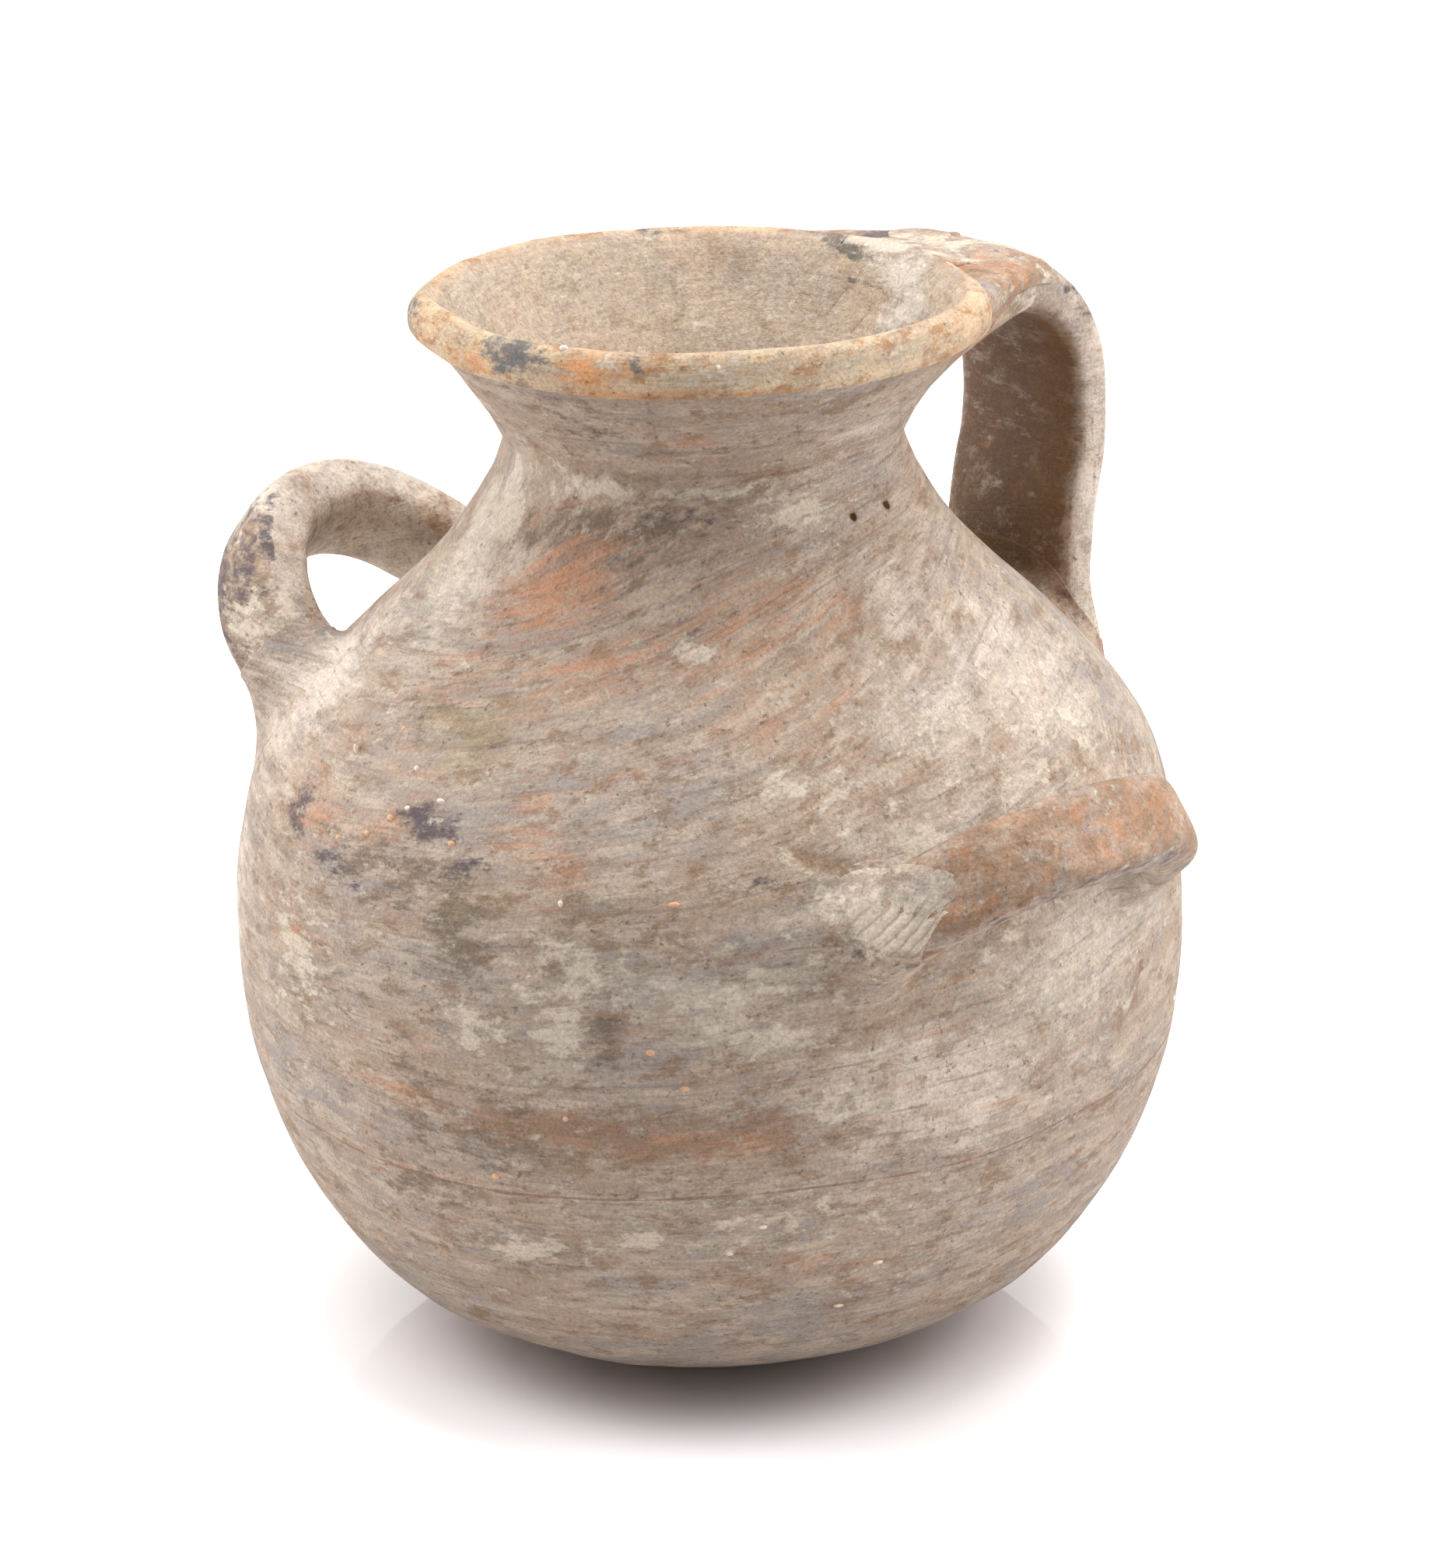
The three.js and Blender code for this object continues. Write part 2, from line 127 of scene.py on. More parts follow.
def flare_line():
    foot = Vector((NECK_RADIUS + NECK_LEDGE_WIDTH, NECK_HEIGHT + NECK_LEDGE_HEIGHT))
    spread = LIP_RADIUS - LIP_OVERHANG - foot.x
    rise = LIP_FOOT_HEIGHT - foot.y
    points = [Vector((foot.x + out * spread, foot.y + up * rise)) for out, up in FLARE_SHARES]
    return smooth_line(points, SPACING)


def thickness_at(height):
    return float(np.interp(height, [NECK_HEIGHT, MOUTH_FOOT_HEIGHT], [WALL_THICKNESS, MOUTH_THICKNESS]))


def inner_line(line):
    """The inner face of the wall whose outer face is the line."""
    moved = []
    for i, point in enumerate(line):
        along = line[min(i + 1, len(line) - 1)] - line[max(i - 1, 0)]
        along.normalize()
        depth = thickness_at(point.y)
        moved.append(Vector((point.x - along.y * depth, point.y + along.x * depth)))
    return moved


OUTER = wall_line() + flare_line()
INNER = inner_line(OUTER)
OUTLINE = np.array([tuple(point) for point in OUTER])


def jar_radius_at(height):
    """Outer radius of the jar at a height, up to the lip."""
    if height > LIP_FOOT_HEIGHT:
        return LIP_RADIUS
    return float(np.interp(height, OUTLINE[:, 1], OUTLINE[:, 0]))


def place_at(height):
    """The outline's place nearest a height, which is the same for the two pieces that meet there."""
    return min(range(len(OUTER)), key=lambda i: abs(OUTER[i].y - height))


def leave_edit_mode(piece, angle):
    """Turns the faces outwards, leaves edit mode and shades the piece smooth."""
    bpy.ops.mesh.select_all(action="SELECT")
    bpy.ops.mesh.normals_make_consistent(inside=False)
    bpy.ops.object.mode_set(mode="OBJECT")
    bpy.ops.object.shade_smooth_by_angle(angle=math.radians(angle))


def subdivide(piece, sharpness):
    """Makes the mesh finer and rounder, and keeps its sharp edges sharp."""
    bpy.ops.object.mode_set(mode="EDIT")
    bpy.ops.mesh.select_mode(type="EDGE")
    bpy.ops.mesh.select_all(action="DESELECT")
    bpy.ops.mesh.edges_select_sharp(sharpness=math.radians(sharpness))
    bpy.ops.transform.edge_crease(value=1)
    bpy.ops.mesh.select_mode(type="VERT")
    bpy.ops.object.mode_set(mode="OBJECT")
    subdivision = piece.modifiers.new("finer", "SUBSURF")
    subdivision.levels = SUBDIVISIONS
    subdivision.render_levels = SUBDIVISIONS
    bpy.ops.object.modifier_apply(modifier=subdivision.name)
    bpy.ops.object.shade_smooth_by_angle(angle=math.radians(sharpness))


def start_circle(name, facets, radius, height):
    deselect_all()
    bpy.ops.mesh.primitive_circle_add(vertices=facets, radius=radius, location=(0, 0, height))
    piece = bpy.context.active_object
    piece.name = name
    piece.data.name = name
    bpy.ops.object.transform_apply(location=True, rotation=True, scale=True)
    bpy.ops.object.mode_set(mode="EDIT")
    bpy.ops.mesh.select_mode(type="VERT")
    bpy.ops.mesh.select_all(action="SELECT")
    return piece


def close_ends(piece, last_ring, count, closed_round):
    """Joins the last ring to the first, or closes both with a face."""
    mesh = bmesh.from_edit_mesh(piece.data)
    mesh.verts.ensure_lookup_table()
    rings = [mesh.verts[start:start + count] for start in (0, last_ring)]
    if not closed_round:
        for ring in rings:
            mesh.faces.new(ring)
        bmesh.update_edit_mesh(piece.data)
        return
    for vertex in mesh.verts:
        vertex.select = False
    for vertex in [*rings[0], *rings[1]]:
        vertex.select = True
    mesh.select_flush(True)
    bpy.ops.mesh.bridge_edge_loops()


def throw(name, outline, closed_round=True):
    """Throws a piece as on a wheel: each ring is drawn out of the last, and the last closes on the first."""
    radius, height = outline[0]
    piece = start_circle(name, RING_FACETS, radius, height)
    for next_radius, next_height in outline[1:]:
        bpy.ops.mesh.extrude_region_move(TRANSFORM_OT_translate={"value": (0, 0, next_height - height)})
        grow = next_radius / radius
        bpy.ops.transform.resize(value=(grow, grow, 1), center_override=(0, 0, next_height))
        radius, height = next_radius, next_height
    close_ends(piece, (len(outline) - 1) * RING_FACETS, RING_FACETS, closed_round)
    leave_edit_mode(piece, TURNED_EDGE_ANGLE)
    subdivide(piece, TURNED_EDGE_ANGLE)
    return piece


def wall_piece(name, low, high):
    """A ring of the wall between two heights: up the outside and down the inside."""
    first = place_at(low)
    last = place_at(high)
    up = [tuple(OUTER[i]) for i in range(first, last + 1)]
    down = [tuple(INNER[i]) for i in range(last, first - 1, -1)]
    return throw(name, up + down)


def make_base_disc():
    middle = 1 * MM
    steps = 4
    last = place_at(BASE_RIM_HEIGHT)
    under = [(middle + (BASE_RADIUS - middle) * i / steps, 0) for i in range(steps)]
    outside = [tuple(OUTER[i]) for i in range(last + 1)]
    inner_edge = INNER[last]
    floor = [(inner_edge.x * (1 - i / steps), WALL_THICKNESS) for i in range(1, steps)]
    return throw("base_clay", [*under, *outside, tuple(inner_edge), *floor], closed_round=False)


def lip_line():
    rise = RIM_HEIGHT - LIP_FOOT_HEIGHT
    lip = [
        Vector((LIP_RADIUS - inwards * LIP_WIDTH, LIP_FOOT_HEIGHT + up * rise)) for inwards, up in LIP_SHARES
    ]
    return smooth_line([*lip, INNER[-1]], LIP_SPACING)


def make_rim():
    return throw("rim_clay", [tuple(point) for point in [OUTER[-1], *lip_line()]])


# Handles: a route, the direction across it, and a width and thickness along it
BAR_FACETS = 64
BAR_STEPS = 110
LOOP_LEG = 9 * MM
ROOT_DEPTH = 3.4 * MM
STRAP_STANDOFF = 26.4 * MM
STRAP_CREST_DEPTH = 6.2 * MM
STRAP_LANDING_HEIGHT = 107.5 * MM
STRAP_WIDTH = 32 * MM
STRAP_RIM_WIDTH = 43 * MM
STRAP_FOOT_WIDTH = 36 * MM
STRAP_THICKNESS = 9.4 * MM
STRAP_RIM_THICKNESS = 11.6 * MM
STRAP_SPLAY_POWER = 4
STRAP_SQUARENESS = 3.4
STRAP_SPACING = 1 * MM
# Route of the strap: shares of its standoff from the lip, and of the way from its landing to its crest
STRAP_ROUTE_SHARES = [
    (-0.32, 0.985), (0.04, 0.998), (0.42, 0.998), (0.76, 0.92), (0.965, 0.76), (1, 0.555),
    (0.91, 0.355), (0.865, 0.15), (0.93, 0), (0.96, -0.137),
]


def squared(value, power):
    return math.copysign(abs(value) ** power, value)


class Bar:
    """A band of clay along a route."""

    def __init__(self, point_at, across, width_at, thickness_at, squareness):
        self.point_at = point_at
        self.across = across
        self.width_at = width_at
        self.thickness_at = thickness_at
        self.power = 2 / squareness
        steps = 200
        points = [point_at(i / steps) for i in range(steps + 1)]
        self.length = sum((b - a).length for a, b in zip(points, points[1:]))

    def skin(self, share, turn, growth=0.0):
        """A point of the skin at a share of the route and a turn round it."""
        step = 0.002
        along = self.point_at(min(share + step, 1)) - self.point_at(max(share - step, 0))
        outwards = along.normalized().cross(self.across)
        width = self.width_at(share) / 2 + growth
        thickness = self.thickness_at(share) / 2 + growth
        point = self.point_at(share)
        point += self.across * width * squared(math.cos(turn), self.power)
        point += outwards * thickness * squared(math.sin(turn), self.power)
        return point


def loop_bar(turn, spread, height, reach, cant, lean, fullness, width, thickness, squareness):
    """A lifting loop: angles in degrees, sizes in millimetres."""
    turn, spread, cant = (math.radians(angle) for angle in (turn, spread, cant))
    height, reach, lean, width, thickness = (size * MM for size in (height, reach, lean, width, thickness))
    outwards = Vector((math.cos(turn), math.sin(turn), 0))
    sideways = Vector((-math.sin(turn), math.cos(turn), 0))
    lifted = outwards * math.cos(cant) + Vector((0, 0, math.sin(cant)))
    across = -sideways.cross(lifted)
    root_radius = jar_radius_at(height)
    half_span = root_radius * math.sin(spread)
    middle = outwards * root_radius * math.cos(spread) + Vector((0, 0, height))
    leg_share = LOOP_LEG / (math.pi * reach + 2 * LOOP_LEG)

    def point_at(share):
        swing = min(max((share - leg_share) / (1 - 2 * leg_share), 0), 1) * math.pi
        side = -squared(math.cos(swing), fullness)
        rise = squared(math.sin(swing), fullness)
        leg = max(0, leg_share - share, share - 1 + leg_share) / leg_share
        return middle + sideways * side * half_span + lifted * (
            rise * reach - side * rise * lean - leg * LOOP_LEG
        )

    return Bar(point_at, across, lambda share: width, lambda share: thickness, squareness)


def strap_bar():
    drop = RIM_HEIGHT - STRAP_CREST_DEPTH - STRAP_LANDING_HEIGHT
    points = [
        Vector((0, LIP_RADIUS + out * STRAP_STANDOFF, STRAP_LANDING_HEIGHT + up * drop))
        for out, up in STRAP_ROUTE_SHARES
    ]
    line = smooth_line(points, STRAP_SPACING)
    lengths = np.cumsum([0] + [(b - a).length for a, b in zip(line, line[1:])])
    shares = lengths / lengths[-1]
    ys = [point.y for point in line]
    zs = [point.z for point in line]

    def point_at(share):
        return Vector((0, float(np.interp(share, shares, ys)), float(np.interp(share, shares, zs))))

    def width_at(share):
        rim_splay = (STRAP_RIM_WIDTH - STRAP_WIDTH) * (1 - share) ** STRAP_SPLAY_POWER
        foot_splay = (STRAP_FOOT_WIDTH - STRAP_WIDTH) * share ** STRAP_SPLAY_POWER
        return STRAP_WIDTH + rim_splay + foot_splay

    def thickness_at(share):
        return STRAP_THICKNESS + (STRAP_RIM_THICKNESS - STRAP_THICKNESS) * (1 - share) ** STRAP_SPLAY_POWER

    return Bar(point_at, Vector((-1, 0, 0)), width_at, thickness_at, STRAP_SQUARENESS)


def keep_in_wall(point):
    """Keeps a handle's root inside the wall, so that it doesn't show in the cavity."""
    least = jar_radius_at(point.z) - ROOT_DEPTH
    reach = math.hypot(point.x, point.y)
    if reach < least:
        return Vector((point.x / reach * least, point.y / reach * least, point.z))
    return point


def loft(name, rings, closed_round=False):
    """Pulls a band out ring by ring, each set on its section, and closes its ends or joins them."""
    count = len(rings[0])
    piece = start_circle(name, count, radius=1 * MM, height=0)
    for _ in rings[1:]:
        bpy.ops.mesh.extrude_region_move(TRANSFORM_OT_translate={"value": (0, 0, 1 * MM)})
    mesh = bmesh.from_edit_mesh(piece.data)
    mesh.verts.ensure_lookup_table()
    for level, ring in enumerate(rings):
        for i, place in enumerate(ring):
            mesh.verts[level * count + i].co = place
    close_ends(piece, (len(rings) - 1) * count, count, closed_round)
    leave_edit_mode(piece, BAND_EDGE_ANGLE)
    return piece


def turns(count):
    return [2 * math.pi * i / count for i in range(count)]


def make_handle(name, bar):
    rings = []
    for step in range(BAR_STEPS + 1):
        share = step / BAR_STEPS
        rings.append([keep_in_wall(bar.skin(share, turn)) for turn in turns(BAR_FACETS)])
    return loft(name, rings)


# Lutes: clay worked into the corner between a handle and the jar, as a fillet that runs out on both
LUTE_FACETS = 128
LUTE_STEPS = 16
LUTE_SINK = 0.05 * MM
LUTE_HEEL = 1.5 * MM
COAT_THICKNESS = 0.3 * MM
COAT_STEPS = 6
HALVINGS = 24
CROWN_MARGIN = 1.2 * MM


def is_inside_jar(point):
    return math.hypot(point.x, point.y) < jar_radius_at(point.z)


def leaving_share(bar, turn, inside, outside):
    """Share of the route at which one line of the bar's skin leaves the jar."""
    for _ in range(HALVINGS):
        middle = (inside + outside) / 2
        if is_inside_jar(bar.skin(middle, turn)):
            inside = middle
        else:
            outside = middle
    return outside


def face_radius_at(height):
    """Radius of the jar's outer face, with the rounding of its lip."""
    up = (height - LIP_FOOT_HEIGHT) / (RIM_HEIGHT - LIP_FOOT_HEIGHT)
    inwards = np.interp(up, [share[1] for share in LIP_FACE], [share[0] for share in LIP_FACE], left=0)
    return jar_radius_at(height) - float(inwards) * LIP_WIDTH


def onto_jar(point, lift):
    """The nearest place at the point's height, or just below the lip's crown."""
    height = min(point.z, RIM_HEIGHT - CROWN_MARGIN)
    radius = face_radius_at(height) + lift
    reach = math.hypot(point.x, point.y)
    return Vector((point.x / reach * radius, point.y / reach * radius, height))


def lobe(turn, towards, sharpness):
    """1 towards a direction, falling to 0 on the other side. Both angles are in radians."""
    return max(0, math.cos(turn - towards)) ** sharpness


def make_lute(name, bar, inside, outside, fullness, spread_at, reach_at, coat_at):
    """A ring of clay round a handle's root.

    By the direction away from the root on the jar, spread_at and reach_at give its width on jar and
    handle, and coat_at how much further a thin coat of it runs up the handle. 0 is to the right, seen
    from outside, and a quarter turn is up. A fuller lute fills more of the corner."""
    direction = math.copysign(1, outside - inside)
    shares = [leaving_share(bar, turn, inside, outside) for turn in turns(LUTE_FACETS)]
    corners = [bar.skin(share, turn) for share, turn in zip(shares, turns(LUTE_FACETS))]
    middle = sum(corners, Vector()) / len(corners)
    rightwards = Vector((-middle.y, middle.x, 0)).normalized()
    columns = []
    for share, turn, corner in zip(shares, turns(LUTE_FACETS), corners):
        away = (corner - middle).normalized()
        heading = math.atan2(away.z, away.dot(rightwards))
        spread = corner + away * spread_at(heading)
        reach = reach_at(heading) / bar.length * direction
        coat = coat_at(heading) / bar.length * direction
        on_jar = onto_jar(spread, -LUTE_SINK)
        along_jar = onto_jar(corner.lerp(spread, fullness), 0)
        along_bar = bar.skin(share + reach * fullness, turn, COAT_THICKNESS)
        on_bar = bar.skin(share + reach, turn, COAT_THICKNESS)
        column = list(interpolate_bezier(on_jar, along_jar, along_bar, on_bar, LUTE_STEPS + 1))
        for step in range(1, COAT_STEPS + 1):
            part = step / COAT_STEPS
            thickness = (COAT_THICKNESS + LUTE_SINK) * math.sqrt(1 - part ** 3) - LUTE_SINK
            column.append(bar.skin(share + reach + coat * part, turn, thickness))
        heel_on_bar = bar.skin(share + reach + coat, turn, -LUTE_HEEL)
        heel_in_corner = onto_jar(bar.skin(share, turn, -LUTE_HEEL), -LUTE_HEEL)
        heel_on_jar = onto_jar(spread, -LUTE_HEEL)
        columns.append([*column, heel_on_bar, heel_in_corner, heel_on_jar])
    rings = [[column[level] for column in columns] for level in range(len(columns[0]))]
    return loft(name, rings, closed_round=True)


# The thin smear of pale clay from the strap over the lip and down inside the mouth
SMEAR_HALF_ANGLE = 34
SMEAR_DEPTH = 11 * MM
SMEAR_ON_STRAP = 4 * MM
SMEAR_THICKNESS = 0.7 * MM
SMEAR_SINK = 0.1 * MM
SMEAR_UNDERSIDE = 1 * MM
SMEAR_STEPS = 96
SMEAR_FACETS = 40
# On the strap it lies this far below the lip's crown, and only where it reaches further than its least
SMEAR_STRAP_DEPTH = 0.9 * MM
SMEAR_LEAST_REACH = 2 * MM
# Share of its half width over which it runs on to the strap
SMEAR_STRAP_SHARE = 0.55
# Places where it touches the lip, as shares of the lip's outline
SMEAR_LIP_SHARES = (0.5, 0.62, 0.75, 0.88)
# How much of its way down the mouth it takes: on average, how much that varies, and at least
SMEAR_COVER = 0.8
SMEAR_RAGGEDNESS = 0.3
SMEAR_LEAST_COVER = 0.35


def line_place(line, share):
    """A place at a share of a line's length, and the direction of the line there."""
    lengths = np.cumsum([0] + [(b - a).length for a, b in zip(line, line[1:])])
    at = share * lengths[-1]
    step = 0.4 * MM
    ends = [
        Vector([float(np.interp(place, lengths, [point[axis] for point in line])) for axis in (0, 1)])
        for place in (at - step, at, at + step)
    ]
    return ends[1], (ends[2] - ends[0]).normalized()


def smear_path(reach):
    """Radius and height from the strap's top over the lip's crown and down the mouth."""
    on_strap = []
    if reach > SMEAR_LEAST_REACH:
        height = RIM_HEIGHT - SMEAR_STRAP_DEPTH
        on_strap = [Vector((LIP_RADIUS + reach * share, height)) for share in (1, 0.5)]
    lip = lip_line()
    over_lip = [lip[round(len(lip) * share)] for share in SMEAR_LIP_SHARES]
    inside = [place for place in reversed(INNER) if place.y > LIP_FOOT_HEIGHT - SMEAR_DEPTH]
    return [*on_strap, *over_lip, *inside]


def make_smear():
    """The smear, section by section across its width, thinner and shorter towards both sides."""
    rings = []
    for step in range(SMEAR_STEPS + 1):
        swing = step / SMEAR_STEPS * 2 - 1
        fade = math.sqrt(max(0, 1 - swing * swing))
        ragged = SMEAR_COVER + SMEAR_RAGGEDNESS * noise.noise(Vector((swing * 5, 0.5, 0)))
        used = max(SMEAR_LEAST_COVER, min(1, ragged * (0.5 + 0.5 * fade)))
        azimuth = math.pi / 2 + math.radians(SMEAR_HALF_ANGLE) * swing
        on_strap = SMEAR_ON_STRAP * math.sqrt(max(0, 1 - (swing / SMEAR_STRAP_SHARE) ** 2))
        line = smear_path(on_strap)
        over_skin = []
        under_skin = []
        for i in range(SMEAR_FACETS + 1):
            share = i / SMEAR_FACETS
            place, along = line_place(line, share * used)
            lift = SMEAR_THICKNESS * fade * math.sin(math.pi * share) ** 0.5 - SMEAR_SINK
            outwards = Vector((along.y, -along.x))
            over_skin.append(place + outwards * lift)
            under_skin.append(place - outwards * SMEAR_UNDERSIDE)
        section = over_skin + under_skin[::-1]
        rings.append([
            Vector((point.x * math.cos(azimuth), point.x * math.sin(azimuth), point.y)) for point in section
        ])
    return loft("strap_smear_clay", rings)


# Presses of a hand: (azimuth, height, half width, half rise, lift), in degrees and millimetres
PRESSES = [
    (43, 118, 16, 14, 1.1), (-12, 91, 10, 5, -0.5), (-124, 177, 9, 5, 1.7), (-106, 179, 4, 2, -0.6),
    (-75, 177, 6, 3, 0.5), (-64, 179, 2, 2, -0.5), (-52, 177, 3, 2, -0.4), (-20, 178, 12, 2, -0.3),
    (45, 177, 10, 5, 1.2), (-100, 60, 30, 20, -0.5), (-30, 88, 26, 18, 0.35), (-70, 40, 20, 12, 0.4),
    (120, 70, 34, 24, -0.6), (-140, 128, 14, 10, -0.6),
]


# Ledge where a fingertip cut in above the lower loop's front lute. It sags by its curve, and its
# middle lies its shift to the left of its lowest place
LEDGE_AZIMUTH = -18
LEDGE_HEIGHT = 103.6
LEDGE_HALF_WIDTH = 11
LEDGE_SHIFT = 4
LEDGE_CURVE = 0.019
LEDGE_DROP = 1.5
LEDGE_SWELL = 0.9
LEDGE_REACH = 4
LEDGE_FACE = 0.5
# Its pale edge, laid as lime, which is partly wear and partly a painted highlight; the painted shade above
# it; and how strong both are painted
LEDGE_EDGE_DROP = 0.2
LEDGE_EDGE_WIDTH = 0.5
LEDGE_SHADE_RISE = 1
LEDGE_PAINT = 0.5
# The mouth rises to one side, where its lip is also taller
RIM_RISE = 1.5 * MM
LIP_GROWTH = 1.2 * MM
RIM_RISE_AZIMUTH = -38


def co_array(piece):
    places = np.empty(len(piece.data.vertices) * 3, np.float32)
    piece.data.vertices.foreach_get("co", places)
    return places.reshape(-1, 3).astype(float)


def shares_from(places, azimuth, height, half_width, half_rise, slant=0.0):
    """How far each place lies from a spot of the jar, as shares of its half width and half rise."""
    turn = np.degrees(np.arctan2(places[:, 1], places[:, 0])) - azimuth
    turn = (turn + 180) % 360 - 180
    sideways = np.radians(turn) * jar_radius_at(height * MM) / MM
    upwards = places[:, 2] / MM - height
    tilt = math.radians(slant)
    along = sideways * math.cos(tilt) + upwards * math.sin(tilt)
    over = upwards * math.cos(tilt) - sideways * math.sin(tilt)
    return along / half_width, over / half_rise


def ledge_places(places):
    """How far each place lies above the ledge, and how strong the ledge is there."""
    along, over = shares_from(places, LEDGE_AZIMUTH, LEDGE_HEIGHT, 1, 1)
    return over - LEDGE_CURVE * along ** 2, np.exp(-((along + LEDGE_SHIFT) / LEDGE_HALF_WIDTH) ** 4)


def ledge_lift(places):
    """How far the ledge lifts each place: down just above its edge, and a little up below it."""
    over, strength = ledge_places(places)
    above = np.clip(over, 0, None)
    below = np.clip(over, None, 0)
    face = np.clip(above / LEDGE_FACE, 0, 1)
    swell = LEDGE_SWELL * np.exp(below / LEDGE_REACH) * (1 - face)
    drop = LEDGE_DROP * np.exp(-above / LEDGE_REACH) * face
    return (swell - drop) * strength * MM


def rim_rise(places):
    """How far the mouth rises at each place."""
    turn = np.arctan2(places[:, 1], places[:, 0]) - math.radians(RIM_RISE_AZIMUTH)
    up = np.clip((places[:, 2] - NECK_HEIGHT) / (RIM_HEIGHT - NECK_HEIGHT), 0, 1)
    up_lip = np.clip((places[:, 2] - LIP_FOOT_HEIGHT) / (RIM_HEIGHT - LIP_FOOT_HEIGHT), 0, 1)
    return (RIM_RISE * up + LIP_GROWTH * up_lip) * (0.5 + 0.5 * np.cos(turn))


def knead(piece):
    """Moves the piece's vertices as uneven handwork would. One field serves all pieces, so none parts."""
    places = co_array(piece)
    shifts = np.zeros_like(places)
    for size, depth in KNEADING:
        for i, place in enumerate(places):
            shifts[i] += np.array(noise.noise_vector(Vector(place) / size)) * depth
    reach = np.hypot(places[:, 0], places[:, 1])
    outwards = places[:, :2] / np.maximum(reach, 1 * MM)[:, None]
    for azimuth, height, half_width, half_rise, lift in PRESSES:
        along, over = shares_from(places, azimuth, height, half_width, half_rise)
        strength = np.exp(-along ** 2 - over ** 2) * lift * MM
        shifts[:, :2] += outwards * strength[:, None]
    shifts[:, :2] += outwards * ledge_lift(places)[:, None]
    shifts[:, 2] += rim_rise(places)
    shifts *= np.clip(places[:, 2] / FIRM_HEIGHT, 0, 1)[:, None]
    piece.data.vertices.foreach_set("co", (places + shifts).astype(np.float32).ravel())
    piece.data.update()


# Paint: soft-edged layers laid on as attributes, which the materials then break up

LAYERS = ("bloom", "dusk_and_shade", "brown_patches", "olive", "rust", "soot", "lime", "shade", "inside", "striae")
# Least strength of a layer, and depth in the wall over which the outside gives way to the inside
EVERYWHERE = {"rust": 0.1, "soot": 0.08, "lime": 0.08}
INSIDE_FADE = 2 * MM
